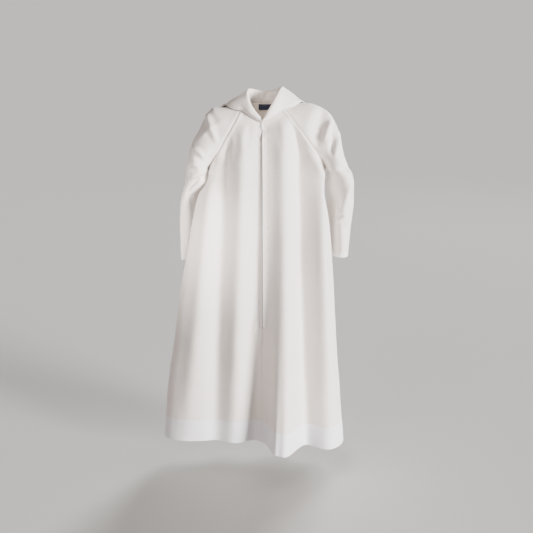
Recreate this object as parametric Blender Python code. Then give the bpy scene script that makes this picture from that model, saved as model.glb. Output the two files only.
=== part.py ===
"""Child's alb: a hooded raglan robe with a zip front, hollow and hanging as if worn.

Metres, +Z up, the front towards -Y, +X on the wearer's left. The origin is at the base of the neck,
midway between the shoulders. Every panel is a grid of rows and columns on one shared surface, so
neighbouring panels have the same points along their seams and part by SEAM_GAP there.
"""

import math
from collections import namedtuple

import bmesh
import bpy
import numpy as np

# Cloth
CLOTH = 0.0016  # wall of one layer
HEM_CLOTH = 0.0027  # wall where the hem is turned up inside
SEAM_GAP = 0.0003
NECK_GAP = 0.0006  # between the hood and the panels it is sewn to
HEM_DEPTH = 0.070  # turned up at the skirt
CUFF_DEPTH = 0.012  # turned up at the wrists

# Overall levels
HEM_Z = -1.045
UNDERARM_Z = -0.188
ZIP_TOP_Z = -0.048
ZIP_END_Z = -0.668
ZIP_GAP = 0.0060  # between the folded front edges

# Grid density
FRONT_COLUMNS = 14
HEM_SPREAD = 0.3  # how much closer the front's columns are to its centre line at the hem
BACK_COLUMNS = 10  # on each half
SLEEVE_COLUMNS = 14
YOKE_STEPS = (0.0, 0.12, 0.24, 0.36, 0.48, 0.60, 0.71, 0.81, 0.90, 0.96, 1.0)
SKIRT_LEVELS = (-0.198, -0.215, -0.243, -0.285, -0.340, -0.405, -0.470, -0.540, -0.605, ZIP_END_Z,
                ZIP_END_Z - 0.014, -0.750, -0.820, -0.895, HEM_Z + HEM_DEPTH, HEM_Z)
ARM_STEPS = (0.035, 0.09, 0.17, 0.26, 0.36, 0.47, 0.58, 0.69, 0.80, 0.89, 0.955, 1.0)
ARM_LENGTH = {"left": 0.273, "right": 0.284}  # from the underarm to the cuff
HOOD_STRIDE = 2  # neckline points to a hood column

Yoke = namedtuple("Yoke", "q front_y front_z back_y back_z")
YOKE = (
    Yoke(q=0.00, front_y=-0.050, front_z=ZIP_TOP_Z, back_y=0.050, back_z=0.000),
    Yoke(q=0.25, front_y=-0.066, front_z=-0.098, back_y=0.059, back_z=-0.056),
    Yoke(q=0.50, front_y=-0.076, front_z=-0.145, back_y=0.065, back_z=-0.112),
    Yoke(q=0.75, front_y=-0.082, front_z=-0.190, back_y=0.069, back_z=-0.166),
    Yoke(q=0.90, front_y=-0.084, front_z=-0.215, back_y=0.071, back_z=-0.198),
    Yoke(q=1.00, front_y=-0.085, front_z=-0.232, back_y=0.072, back_z=-0.218),
)

# A raglan row: the seam's point and the heading in degrees (from +X towards +Y, on the wearer's
# left side) with which the body's row reaches it and the sleeve's row leaves it.
Seam = namedtuple("Seam", "q x y z reach leave")
# The top line of a sleeve over the shoulder, with the depth of its handles.
Ridge = namedtuple("Ridge", "q x y z front_handle ridge_handle")
# A ring of the hanging sleeve, by the share of its length below the underarm.
Ring = namedtuple("Ring", "f outer_x outer_y inner_x inner_y lean front_depth back_depth drop")

FRONT_SEAM = {
    "left": (
        Seam(q=0.00, x=0.0550, y=-0.020, z=-0.003, reach=51, leave=62),
        Seam(q=0.25, x=0.0900, y=-0.049, z=-0.046, reach=28, leave=14),
        Seam(q=0.50, x=0.1260, y=-0.058, z=-0.094, reach=24, leave=-4),
        Seam(q=0.75, x=0.1600, y=-0.050, z=-0.140, reach=40, leave=-34),
        Seam(q=0.90, x=0.1800, y=-0.028, z=-0.170, reach=64, leave=-66),
        Seam(q=1.00, x=0.1885, y=0.000, z=UNDERARM_Z, reach=86, leave=-88),
    ),
    "right": (
        Seam(q=0.00, x=0.0550, y=-0.020, z=-0.003, reach=51, leave=62),
        Seam(q=0.25, x=0.0780, y=-0.048, z=-0.047, reach=28, leave=14),
        Seam(q=0.50, x=0.1040, y=-0.057, z=-0.091, reach=24, leave=-4),
        Seam(q=0.75, x=0.1310, y=-0.051, z=-0.140, reach=40, leave=-34),
        Seam(q=0.90, x=0.1500, y=-0.029, z=-0.170, reach=64, leave=-66),
        Seam(q=1.00, x=0.1610, y=0.000, z=UNDERARM_Z, reach=86, leave=-88),
    ),
}
BACK_SEAM = {
    "left": (
        Seam(q=0.00, x=0.0450, y=0.038, z=0.000, reach=-40, leave=-62),
        Seam(q=0.25, x=0.0850, y=0.053, z=-0.045, reach=-16, leave=-6),
        Seam(q=0.50, x=0.1240, y=0.059, z=-0.093, reach=-18, leave=8),
        Seam(q=0.75, x=0.1580, y=0.049, z=-0.140, reach=-38, leave=38),
        Seam(q=0.90, x=0.1790, y=0.027, z=-0.170, reach=-64, leave=66),
        Seam(q=1.00, x=0.1885, y=0.000, z=UNDERARM_Z, reach=-86, leave=88),
    ),
    "right": (
        Seam(q=0.00, x=0.0450, y=0.038, z=0.000, reach=-40, leave=-62),
        Seam(q=0.25, x=0.0740, y=0.053, z=-0.046, reach=-16, leave=-6),
        Seam(q=0.50, x=0.1030, y=0.059, z=-0.091, reach=-18, leave=8),
        Seam(q=0.75, x=0.1300, y=0.049, z=-0.140, reach=-38, leave=38),
        Seam(q=0.90, x=0.1500, y=0.027, z=-0.170, reach=-64, leave=66),
        Seam(q=1.00, x=0.1610, y=0.000, z=UNDERARM_Z, reach=-86, leave=88),
    ),
}
RIDGE = {
    "left": (
        Ridge(q=0.00, x=0.0620, y=0.008, z=0.000, front_handle=0.012, ridge_handle=0.010),
        Ridge(q=0.25, x=0.1300, y=0.004, z=0.001, front_handle=0.022, ridge_handle=0.024),
        Ridge(q=0.50, x=0.1930, y=0.002, z=-0.024, front_handle=0.036, ridge_handle=0.040),
        Ridge(q=0.75, x=0.2300, y=0.002, z=-0.094, front_handle=0.056, ridge_handle=0.060),
        Ridge(q=0.90, x=0.2440, y=0.004, z=-0.152, front_handle=0.078, ridge_handle=0.078),
        Ridge(q=1.00, x=0.2580, y=0.006, z=-0.190, front_handle=0.092, ridge_handle=0.092),
    ),
    "right": (
        Ridge(q=0.00, x=0.0620, y=0.008, z=0.000, front_handle=0.012, ridge_handle=0.010),
        Ridge(q=0.24, x=0.1200, y=0.004, z=-0.0115, front_handle=0.020, ridge_handle=0.022),
        Ridge(q=0.36, x=0.1440, y=0.003, z=-0.0125, front_handle=0.028, ridge_handle=0.028),
        Ridge(q=0.48, x=0.1650, y=0.003, z=-0.0340, front_handle=0.034, ridge_handle=0.038),
        Ridge(q=0.60, x=0.1860, y=0.004, z=-0.0740, front_handle=0.042, ridge_handle=0.048),
        Ridge(q=0.75, x=0.2085, y=0.006, z=-0.1130, front_handle=0.052, ridge_handle=0.058),
        Ridge(q=0.90, x=0.2220, y=0.010, z=-0.1580, front_handle=0.074, ridge_handle=0.076),
        Ridge(q=1.00, x=0.2300, y=0.014, z=-0.1950, front_handle=0.088, ridge_handle=0.090),
    ),
}
ARM = {
    "left": (
        Ring(f=0.00, outer_x=0.2580, outer_y=0.006, inner_x=0.1885, inner_y=0.000, lean=2,
             front_depth=0.069, back_depth=0.069, drop=0.002),
        Ring(f=0.06, outer_x=0.2660, outer_y=0.010, inner_x=0.1985, inner_y=0.010, lean=4,
             front_depth=0.067, back_depth=0.068, drop=0.0),
        Ring(f=0.20, outer_x=0.2740, outer_y=0.018, inner_x=0.1985, inner_y=0.026, lean=8,
             front_depth=0.065, back_depth=0.064, drop=0.0),
        Ring(f=0.40, outer_x=0.2745, outer_y=0.026, inner_x=0.2020, inner_y=0.042, lean=10,
             front_depth=0.062, back_depth=0.056, drop=0.0),
        Ring(f=0.70, outer_x=0.2680, outer_y=0.030, inner_x=0.2060, inner_y=0.046, lean=10,
             front_depth=0.057, back_depth=0.050, drop=0.0),
        Ring(f=1.00, outer_x=0.2620, outer_y=0.028, inner_x=0.2075, inner_y=0.042, lean=8,
             front_depth=0.053, back_depth=0.048, drop=0.0),
    ),
    "right": (
        Ring(f=0.00, outer_x=0.2300, outer_y=0.014, inner_x=0.1610, inner_y=0.000, lean=0,
             front_depth=0.0660, back_depth=0.0675, drop=0.007),
        Ring(f=0.06, outer_x=0.2325, outer_y=0.018, inner_x=0.1640, inner_y=0.004, lean=-4,
             front_depth=0.0640, back_depth=0.0660, drop=0.004),
        Ring(f=0.14, outer_x=0.2365, outer_y=0.026, inner_x=0.1690, inner_y=0.014, lean=-9,
             front_depth=0.0620, back_depth=0.0640, drop=0.002),
        Ring(f=0.22, outer_x=0.2395, outer_y=0.033, inner_x=0.1800, inner_y=0.030, lean=4,
             front_depth=0.0600, back_depth=0.0620, drop=0.000),
        Ring(f=0.30, outer_x=0.2420, outer_y=0.037, inner_x=0.1900, inner_y=0.043, lean=12,
             front_depth=0.0590, back_depth=0.0590, drop=0.000),
        Ring(f=0.42, outer_x=0.2450, outer_y=0.041, inner_x=0.1965, inner_y=0.053, lean=16,
             front_depth=0.0570, back_depth=0.0560, drop=0.000),
        Ring(f=0.70, outer_x=0.2495, outer_y=0.044, inner_x=0.2070, inner_y=0.061, lean=15,
             front_depth=0.0540, back_depth=0.0520, drop=0.000),
        Ring(f=1.00, outer_x=0.2500, outer_y=0.042, inner_x=0.2150, inner_y=0.059, lean=11,
             front_depth=0.0500, back_depth=0.0500, drop=0.000),
    ),
}

# Sections of the body below the arms. Heights are given as depth below the origin.
# The corner columns say how square the front turns the corner at each side.
Section = namedtuple("Section", "depth left_x right_x left_y right_y front_y back_y left_corner right_corner")
TORSO = (
    Section(depth=0.188, left_x=0.1885, right_x=0.1610, left_y=0.000, right_y=0.000,
            front_y=-0.085, back_y=0.072, left_corner=0.60, right_corner=0.60),
    Section(depth=0.200, left_x=0.1800, right_x=0.1585, left_y=-0.004, right_y=-0.003,
            front_y=-0.085, back_y=0.072, left_corner=0.60, right_corner=0.60),
    Section(depth=0.226, left_x=0.1795, right_x=0.1655, left_y=-0.010, right_y=-0.006,
            front_y=-0.085, back_y=0.072, left_corner=0.60, right_corner=0.60),
    Section(depth=0.245, left_x=0.1815, right_x=0.1750, left_y=-0.013, right_y=-0.014,
            front_y=-0.085, back_y=0.072, left_corner=0.60, right_corner=0.60),
    Section(depth=0.262, left_x=0.1845, right_x=0.1880, left_y=-0.016, right_y=-0.022,
            front_y=-0.085, back_y=0.072, left_corner=0.60, right_corner=0.60),
    Section(depth=0.330, left_x=0.1975, right_x=0.2060, left_y=-0.022, right_y=-0.030,
            front_y=-0.084, back_y=0.073, left_corner=0.60, right_corner=0.60),
    Section(depth=0.440, left_x=0.2095, right_x=0.2275, left_y=-0.024, right_y=-0.032,
            front_y=-0.082, back_y=0.075, left_corner=0.60, right_corner=0.60),
    Section(depth=0.540, left_x=0.2175, right_x=0.2480, left_y=-0.018, right_y=-0.022,
            front_y=-0.080, back_y=0.079, left_corner=0.65, right_corner=0.60),
    Section(depth=0.700, left_x=0.2290, right_x=0.2730, left_y=-0.010, right_y=-0.010,
            front_y=-0.078, back_y=0.092, left_corner=0.75, right_corner=0.65),
    Section(depth=0.900, left_x=0.2470, right_x=0.3045, left_y=-0.010, right_y=-0.004,
            front_y=-0.076, back_y=0.112, left_corner=1.00, right_corner=0.75),
    Section(depth=1.045, left_x=0.2595, right_x=0.3170, left_y=-0.014, right_y=-0.006,
            front_y=-0.074, back_y=0.124, left_corner=1.50, right_corner=0.95),
)

CORNER = 0.6  # the same where the sides are round
# How much lower than its level the hem hangs, across the body.
HemDrop = namedtuple("HemDrop", "x drop")
HEM_DROP = (
    HemDrop(x=-0.31, drop=0.006),
    HemDrop(x=-0.20, drop=0.0),
    HemDrop(x=0.00, drop=0.0),
    HemDrop(x=0.10, drop=0.010),
    HemDrop(x=0.16, drop=0.017),
    HemDrop(x=0.26, drop=0.020),
)
HEM_DROP_START = 0.60

# A fold runs down the cloth: out is how far it stands out (ridge) or in (trough, negative).
Fold = namedtuple("Fold", "x_top x_low half_top half_low out_top out_low z_top z_low power")
FRONT_FOLDS = (
    Fold(x_top=0.060, x_low=0.069, half_top=0.024, half_low=0.041, out_top=0.008, out_low=0.089,
         z_top=-0.06, z_low=HEM_Z, power=1.6),
    Fold(x_top=0.040, x_low=0.034, half_top=0.018, half_low=0.017, out_top=0.000, out_low=0.034,
         z_top=-0.40, z_low=HEM_Z, power=1.6),
    Fold(x_top=0.110, x_low=0.138, half_top=0.021, half_low=0.028, out_top=-0.016, out_low=-0.016,
         z_top=-0.05, z_low=HEM_Z, power=0.8),
    Fold(x_top=0.156, x_low=0.205, half_top=0.014, half_low=0.030, out_top=0.016, out_low=0.020,
         z_top=-0.12, z_low=HEM_Z, power=0.9),
    Fold(x_top=-0.002, x_low=-0.030, half_top=0.020, half_low=0.024, out_top=-0.005, out_low=-0.014,
         z_top=-0.06, z_low=HEM_Z, power=0.8),
    Fold(x_top=-0.053, x_low=-0.090, half_top=0.019, half_low=0.030, out_top=0.006, out_low=0.012,
         z_top=-0.08, z_low=HEM_Z, power=1.0),
    Fold(x_top=-0.108, x_low=-0.152, half_top=0.018, half_low=0.030, out_top=-0.009, out_low=-0.014,
         z_top=-0.10, z_low=HEM_Z, power=0.9),
    Fold(x_top=-0.146, x_low=-0.240, half_top=0.017, half_low=0.036, out_top=0.007, out_low=0.010,
         z_top=-0.18, z_low=HEM_Z, power=1.0),
)
BACK_FOLDS = (
    Fold(x_top=0.060, x_low=0.088, half_top=0.022, half_low=0.040, out_top=0.002, out_low=0.034,
         z_top=-0.26, z_low=HEM_Z, power=1.4),
    Fold(x_top=0.014, x_low=0.014, half_top=0.020, half_low=0.034, out_top=-0.002, out_low=-0.018,
         z_top=-0.24, z_low=HEM_Z, power=1.1),
    Fold(x_top=-0.050, x_low=-0.070, half_top=0.022, half_low=0.042, out_top=0.003, out_low=0.030,
         z_top=-0.22, z_low=HEM_Z, power=1.3),
    Fold(x_top=-0.096, x_low=-0.146, half_top=0.018, half_low=0.032, out_top=-0.003, out_low=-0.018,
         z_top=-0.30, z_low=HEM_Z, power=1.0),
    Fold(x_top=0.120, x_low=0.158, half_top=0.018, half_low=0.030, out_top=-0.002, out_low=-0.015,
         z_top=-0.34, z_low=HEM_Z, power=1.0),
    Fold(x_top=-0.130, x_low=-0.220, half_top=0.022, half_low=0.038, out_top=0.0, out_low=0.022,
         z_top=-0.48, z_low=HEM_Z, power=1.1),
)

# A crease across a sleeve, placed by its row q, its place t round the row (0 front seam, 1 ridge,
# 2 back seam), its heading in degrees (0 round the sleeve, 90 along it) and its sizes.
Crease = namedtuple("Crease", "q t heading length width out")
SLEEVE_CREASES = {
    "left": (
        Crease(q=0.62, t=0.42, heading=62, length=0.060, width=0.011, out=-0.005),
        Crease(q=0.70, t=0.75, heading=70, length=0.050, width=0.010, out=0.004),
        Crease(q=1.30, t=0.55, heading=96, length=0.110, width=0.014, out=0.004),
        Crease(q=1.08, t=1.50, heading=40, length=0.060, width=0.012, out=-0.005),
    ),
    "right": (
        Crease(q=0.55, t=0.45, heading=72, length=0.070, width=0.011, out=0.004),
        Crease(q=0.95, t=0.55, heading=18, length=0.060, width=0.012, out=0.005),
        Crease(q=1.12, t=0.45, heading=12, length=0.070, width=0.011, out=-0.006),
        Crease(q=1.10, t=1.45, heading=150, length=0.060, width=0.012, out=-0.005),
    ),
}

# The hood laid back, by the share w of the neckline from the front zip to the back centre:
# the crest of the roll, how far down the panel it reaches, the share of that at which it lands,
# its height there, how much of the turn at the pouch's foot it has, and how far it rises again.
HoodColumn = namedtuple("HoodColumn", "w x y z reach land lift turn rise")
HOOD = {
    "left": (
        HoodColumn(w=0.00, x=0.0045, y=-0.0540, z=-0.0400, reach=0.005, land=0.9, lift=0.0034,
                   turn=0.0, rise=0.0),
        HoodColumn(w=0.10, x=0.0130, y=-0.0535, z=-0.0260, reach=0.007, land=0.9, lift=0.0036,
                   turn=0.0, rise=0.0),
        HoodColumn(w=0.20, x=0.0250, y=-0.0490, z=-0.0060, reach=0.009, land=0.9, lift=0.0040,
                   turn=0.0, rise=0.0),
        HoodColumn(w=0.30, x=0.0370, y=-0.0400, z=0.0140, reach=0.011, land=0.9, lift=0.0045,
                   turn=0.0, rise=0.0),
        HoodColumn(w=0.40, x=0.0480, y=-0.0260, z=0.0340, reach=0.018, land=0.9, lift=0.0055,
                   turn=0.0, rise=0.0),
        HoodColumn(w=0.50, x=0.0570, y=-0.0050, z=0.0450, reach=0.040, land=0.9, lift=0.0085,
                   turn=0.0, rise=0.0),
        HoodColumn(w=0.60, x=0.0600, y=0.0150, z=0.0470, reach=0.064, land=0.85, lift=0.0080,
                   turn=0.4, rise=0.010),
        HoodColumn(w=0.70, x=0.0540, y=0.0330, z=0.0450, reach=0.092, land=0.7, lift=0.0055,
                   turn=0.85, rise=0.040),
        HoodColumn(w=0.80, x=0.0420, y=0.0460, z=0.0405, reach=0.128, land=0.5, lift=0.0042,
                   turn=1.0, rise=0.085),
        HoodColumn(w=0.90, x=0.0260, y=0.0540, z=0.0360, reach=0.165, land=0.40, lift=0.0036,
                   turn=1.0, rise=0.135),
        HoodColumn(w=1.00, x=0.0060, y=0.0570, z=0.0330, reach=0.195, land=0.35, lift=0.0036,
                   turn=1.0, rise=0.172),
    ),
    "right": (
        HoodColumn(w=0.00, x=0.0045, y=-0.0540, z=-0.0400, reach=0.005, land=0.9, lift=0.0034,
                   turn=0.0, rise=0.0),
        HoodColumn(w=0.10, x=0.0130, y=-0.0541, z=-0.0300, reach=0.008, land=0.9, lift=0.0036,
                   turn=0.0, rise=0.0),
        HoodColumn(w=0.20, x=0.0245, y=-0.0500, z=-0.0180, reach=0.010, land=0.9, lift=0.0040,
                   turn=0.0, rise=0.0),
        HoodColumn(w=0.30, x=0.0350, y=-0.0430, z=-0.0040, reach=0.013, land=0.9, lift=0.0045,
                   turn=0.0, rise=0.0),
        HoodColumn(w=0.40, x=0.0420, y=-0.0310, z=0.0120, reach=0.019, land=0.9, lift=0.0055,
                   turn=0.0, rise=0.0),
        HoodColumn(w=0.50, x=0.0450, y=-0.0120, z=0.0280, reach=0.036, land=0.9, lift=0.0075,
                   turn=0.0, rise=0.0),
        HoodColumn(w=0.60, x=0.0440, y=0.0100, z=0.0380, reach=0.052, land=0.85, lift=0.0075,
                   turn=0.4, rise=0.010),
        HoodColumn(w=0.70, x=0.0380, y=0.0290, z=0.0405, reach=0.088, land=0.7, lift=0.0055,
                   turn=0.85, rise=0.040),
        HoodColumn(w=0.80, x=0.0270, y=0.0440, z=0.0395, reach=0.126, land=0.5, lift=0.0042,
                   turn=1.0, rise=0.085),
        HoodColumn(w=0.90, x=0.0110, y=0.0530, z=0.0365, reach=0.165, land=0.40, lift=0.0036,
                   turn=1.0, rise=0.135),
        HoodColumn(w=1.00, x=-0.0060, y=0.0570, z=0.0330, reach=0.195, land=0.35, lift=0.0036,
                   turn=1.0, rise=0.172),
    ),
}
ROLL_RADIUS = 0.0050
POUCH_RADIUS = 0.0085
POUCH_PUFF = 0.010
HOOD_CLEARANCE = 0.0034
HOOD_ROWS = 17

# Trim
TAPE_WIDTH = 0.0125
TAPE_THICK = 0.0010
TAPE_GAP = 0.0010  # behind the front edges
TAPE_PARTING = 0.0008  # between the two tapes, under the chain
TAPE_TOP = 0.0040  # below the neck seam
CHAIN_WIDTH = 0.0044
CHAIN_THICK = 0.0014
CHAIN_SUNK = 0.0002  # below the face of the front edges
CHAIN_TOP = 0.0020
STOP_LENGTH = 0.0030
LABEL_WIDTH = 0.039
LABEL_HEIGHT = 0.017
LABEL_THICK = 0.0010
LABEL_CENTRE_X = 0.008
LABEL_TOP = 0.003  # below the back neck seam
LABEL_GAP = 0.0006  # from the inside of the back
SLIDER_TOP = 0.0020  # below the neck seam, along the chain
SLIDER_PLATE = (0.0080, 0.0014, 0.0100)  # across, thick, along the chain
SLIDER_STAND_OFF = 0.0006  # from the cloth to the plate
BRIDGE_HALF = 0.0008  # half its width
BRIDGE_BAR = 0.0012  # thickness of its legs and its top
BRIDGE_TOP = 0.0018  # from the plate's top edge
BRIDGE_SPAN = (0.0026, 0.0032)  # its opening, off the plate and along the chain
PULL_HALF = 0.0028  # half the tab's width
PULL_THICK = 0.0012
PULL_BAR = 0.0012  # the bar through the bridge
PULL_ARM = 0.0014  # width of each arm beside the bridge
PULL_EYE = 0.0049  # from the hinge to the far end of the eye
PULL_REACH = 0.0175  # from the hinge to the tab's tip

Finish = namedtuple("Finish", "colour roughness")
COTTON = Finish(colour=(0.80, 0.79, 0.77), roughness=0.9)
NAVY = Finish(colour=(0.012, 0.020, 0.050), roughness=0.8)
ENAMEL = Finish(colour=(0.82, 0.82, 0.80), roughness=0.35)
TAPE = Finish(colour=(0.78, 0.78, 0.77), roughness=0.85)


# ---------------------------------------------------------------- tables and curves

def read(table, column, at):
    """A column of a table at a value of its first column, on a smooth curve that never overshoots."""
    keys = np.array([row[0] for row in table], float)
    values = np.array([getattr(row, column) for row in table], float)
    steps = np.diff(keys)
    rises = np.diff(values) / steps
    slopes = np.concatenate([rises[:1], np.zeros(len(keys) - 2), rises[-1:]])
    for i in range(1, len(keys) - 1):
        if rises[i - 1] * rises[i] > 0:
            before, after = 2 * steps[i] + steps[i - 1], steps[i] + 2 * steps[i - 1]
            slopes[i] = (before + after) / (before / rises[i - 1] + after / rises[i])
    at = np.clip(np.asarray(at, float), keys[0], keys[-1])
    i = np.clip(np.searchsorted(keys, at, side="right") - 1, 0, len(keys) - 2)
    t = (at - keys[i]) / steps[i]
    return (values[i] * (1 + 2 * t) * (1 - t) ** 2 + slopes[i] * steps[i] * t * (1 - t) ** 2
            + values[i + 1] * t * t * (3 - 2 * t) + slopes[i + 1] * steps[i] * t * t * (t - 1))


def ease(low, high, value):
    """0 below low, 1 above high and smooth between."""
    t = np.clip((value - low) / (high - low), 0.0, 1.0)
    return t * t * (3 - 2 * t)


def bezier(p0, p1, p2, p3, t):
    """Points of a cubic curve at each t."""
    t = np.asarray(t, float)[:, None]
    return p0 * (1 - t) ** 3 + 3 * p1 * t * (1 - t) ** 2 + 3 * p2 * t * t * (1 - t) + p3 * t ** 3


def heading(degrees):
    angle = math.radians(degrees)
    return np.array([math.cos(angle), math.sin(angle), 0.0])


def flat_unit(vector):
    flat = np.array([vector[0], vector[1], 0.0])
    return flat / np.linalg.norm(flat)


# ---------------------------------------------------------------- the body's rows

def raglan_point(table, q):
    return np.array([read(table, "x", q), read(table, "y", q), read(table, "z", q)], float)


def half_row(side, face, level, t):
    """A row of half a front or back, from its centre line to the seam, on the wearer's left side.

    level is (q, None) above the underarm and (None, z) below it.
    """
    q, z = level
    sign = -1 if face == "front" else 1
    corner = CORNER
    if z is None:
        seams = (FRONT_SEAM if face == "front" else BACK_SEAM)[side]
        centre = np.array([0.0, read(YOKE, face + "_y", q), read(YOKE, face + "_z", q)], float)
        edge = raglan_point(seams, q)
        arrive = heading(read(seams, "reach", q))
    else:
        depth = -z
        dip = float(YOKE[-1].front_z if face == "front" else YOKE[-1].back_z) - UNDERARM_Z
        sag = dip * (1 - ease(0.0, 0.20, depth + UNDERARM_Z))
        centre = np.array([0.0, read(TORSO, face + "_y", depth), z + sag], float)
        edge = np.array([read(TORSO, side + "_x", depth), read(TORSO, side + "_y", depth), z], float)
        arrive = heading(-sign * 88)
        if face == "front":
            corner = float(read(TORSO, side + "_corner", depth))
    span = edge - centre
    rise = np.array([0.0, 0.0, span[2] / 3])
    first = centre + np.array([0.55 * span[0], 0.0, 0.0]) + rise
    last = edge - arrive * max(corner * abs(span[1]), 0.2 * span[0]) - rise
    row = bezier(centre, first, last, edge, t)
    if z is not None:
        toward = row[:, 0] if side == "left" else -row[:, 0]
        drop = read(HEM_DROP, "drop", toward) * ease(HEM_DROP_START, -HEM_Z, depth)
        row[:, 2] -= drop
    return row


def fold_depth(folds, x, z):
    """How far the folds move the cloth out at a place."""
    total = np.zeros_like(x)
    for fold in folds:
        f = np.clip((fold.z_top - z) / (fold.z_top - fold.z_low), 0.0, 1.0)
        x_mid = fold.x_top + (fold.x_low - fold.x_top) * f
        half = fold.half_top + (fold.half_low - fold.half_top) * f
        out = fold.out_top + (fold.out_low - fold.out_top) * f ** fold.power
        start = ease(0.0, 0.05, fold.z_top + 0.03 - z)
        total = total + out * start * np.exp(-((x - x_mid) / half) ** 2)
    return total


def torso_levels():
    return [(q, None) for q in YOKE_STEPS] + [(None, z) for z in SKIRT_LEVELS]


def half_shares(face, columns, z):
    """The share of the row at each column, from the centre line to the seam."""
    even = np.linspace(0, 1, columns + 1)
    if z is None or face == "back":
        return even
    return even ** (1 + HEM_SPREAD * float(ease(-ZIP_END_Z, -HEM_Z - HEM_DEPTH, -z)))


def half_grid(side, face, columns):
    grid = np.stack([half_row(side, face, level, half_shares(face, columns, level[1]))
                     for level in torso_levels()])
    if side == "right":
        grid[..., 0] *= -1
    return grid


# ---------------------------------------------------------------- the sleeves' rows

def cap_row(side, q, t):
    """A row over the shoulder, from the front raglan seam (t 0) over the ridge (1) to the back (2)."""
    front, back, ridge = FRONT_SEAM[side], BACK_SEAM[side], RIDGE[side]
    top = raglan_point(ridge, q)
    reach = float(read(ridge, "ridge_handle", q))
    start_reach = float(read(ridge, "front_handle", q))
    halves = []
    for seams, sign, share in ((front, -1, t[t <= 1]), (back, 1, 2 - t[t > 1])):
        start = raglan_point(seams, q)
        rise = np.array([0.0, 0.0, 0.4 * (top[2] - start[2])])
        first = start + heading(read(seams, "leave", q)) * start_reach + rise
        last = top + np.array([0.0, sign * reach, 0.0])
        halves.append(bezier(start, first, last, top, share))
    return np.concatenate(halves)


def arm_row(side, f, t):
    """A ring of the hanging sleeve, from the underarm seam round the front, the outside and the back."""
    table = ARM[side]
    z = UNDERARM_Z - ARM_LENGTH[side] * f
    inner = np.array([read(table, "inner_x", f), read(table, "inner_y", f), z], float)
    outer = np.array([read(table, "outer_x", f), read(table, "outer_y", f),
                      z - read(table, "drop", f)], float)
    forward = heading(-90 + float(read(table, "lean", f)))
    halves = []
    for column, sign, share in (("front_depth", 1, t[t <= 1]), ("back_depth", -1, 2 - t[t > 1])):
        reach = sign * forward * float(read(table, column, f)) / 0.75
        halves.append(bezier(inner, inner + reach, outer + reach, outer, share))
    return np.concatenate(halves)


def sleeve_grid(side, columns):
    t = np.linspace(0, 2, columns + 1)
    rows = [cap_row(side, q, t) for q in YOKE_STEPS] + [arm_row(side, f, t) for f in ARM_STEPS]
    grid = np.stack(rows)
    if side == "right":
        grid[..., 0] *= -1
    return grid


def crease_depth(side, grid, q_rows, t_columns):
    """How far the creases of a sleeve move its cloth out, over its whole grid."""
    total = np.zeros(grid.shape[:2])
    down = np.gradient(grid, axis=0)
    round_ = np.gradient(grid, axis=1)
    for crease in SLEEVE_CREASES[side]:
        row = int(np.argmin(abs(q_rows - crease.q)))
        column = int(np.argmin(abs(t_columns - crease.t)))
        centre = grid[row, column]
        along_row = round_[row, column] / np.linalg.norm(round_[row, column])
        along_arm = down[row, column] / np.linalg.norm(down[row, column])
        angle = math.radians(crease.heading)
        run = along_row * math.cos(angle) + along_arm * math.sin(angle)
        across = -along_row * math.sin(angle) + along_arm * math.cos(angle)
        offset = grid - centre
        near = np.exp(-(np.einsum("ijk,k->ij", offset, run) / (crease.length / 2)) ** 2
                      - (np.einsum("ijk,k->ij", offset, across) / crease.width) ** 2)
        spread = np.linalg.norm(offset, axis=2)
        total += crease.out * near * (1 - ease(crease.length, 1.6 * crease.length, spread))
    edges = np.minimum(ease(0.0, 0.25, t_columns), ease(0.0, 0.25, 2 - t_columns))
    return total * edges[None, :]


# ---------------------------------------------------------------- walls from grids

def quads_of(rows, columns, turned):
    """Faces of a grid, facing out where rows run down and columns run towards +X at the front."""
    faces = []
    for i in range(rows - 1):
        for j in range(columns - 1):
            a, b = i * columns + j, i * columns + j + 1
            c, d = b + columns, a + columns
            faces.append((a, b, c, d) if turned else (a, d, c, b))
    return faces


class Panel:
    """A piece of cloth: its points, its faces, its wall at each point and its normals."""

    def __init__(self, name, grid, turned, wall):
        self.name = name
        self.shape = grid.shape[:2]
        self.points = grid.reshape(-1, 3).copy()
        self.faces = quads_of(*self.shape, turned)
        self.wall = wall.reshape(-1).copy()
        self.normals = np.zeros_like(self.points)
        self.weld = None

    def grid(self):
        return self.points.reshape(*self.shape, 3)


def share_points(panels):
    """Numbers the points of all panels so that those at one place share a number."""
    every = np.concatenate([panel.points for panel in panels])
    _, numbers = np.unique(np.round(every, 5), axis=0, return_inverse=True)
    numbers = numbers.reshape(-1)
    start = 0
    for panel in panels:
        panel.weld = numbers[start:start + len(panel.points)]
        start += len(panel.points)
    return int(numbers.max()) + 1


def share_normals(panels, count):
    """Gives each point the mean normal of all the faces that meet there, of whichever panel."""
    sums = np.zeros((count, 3))
    for panel in panels:
        faces = np.array(panel.faces)
        p = panel.points[faces]
        normal = np.cross(p[:, 2] - p[:, 0], p[:, 3] - p[:, 1])
        for corner in range(4):
            np.add.at(sums, panel.weld[faces[:, corner]], normal)
    sums /= np.maximum(np.linalg.norm(sums, axis=1), 1e-12)[:, None]
    for panel in panels:
        panel.normals = sums[panel.weld]


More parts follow.
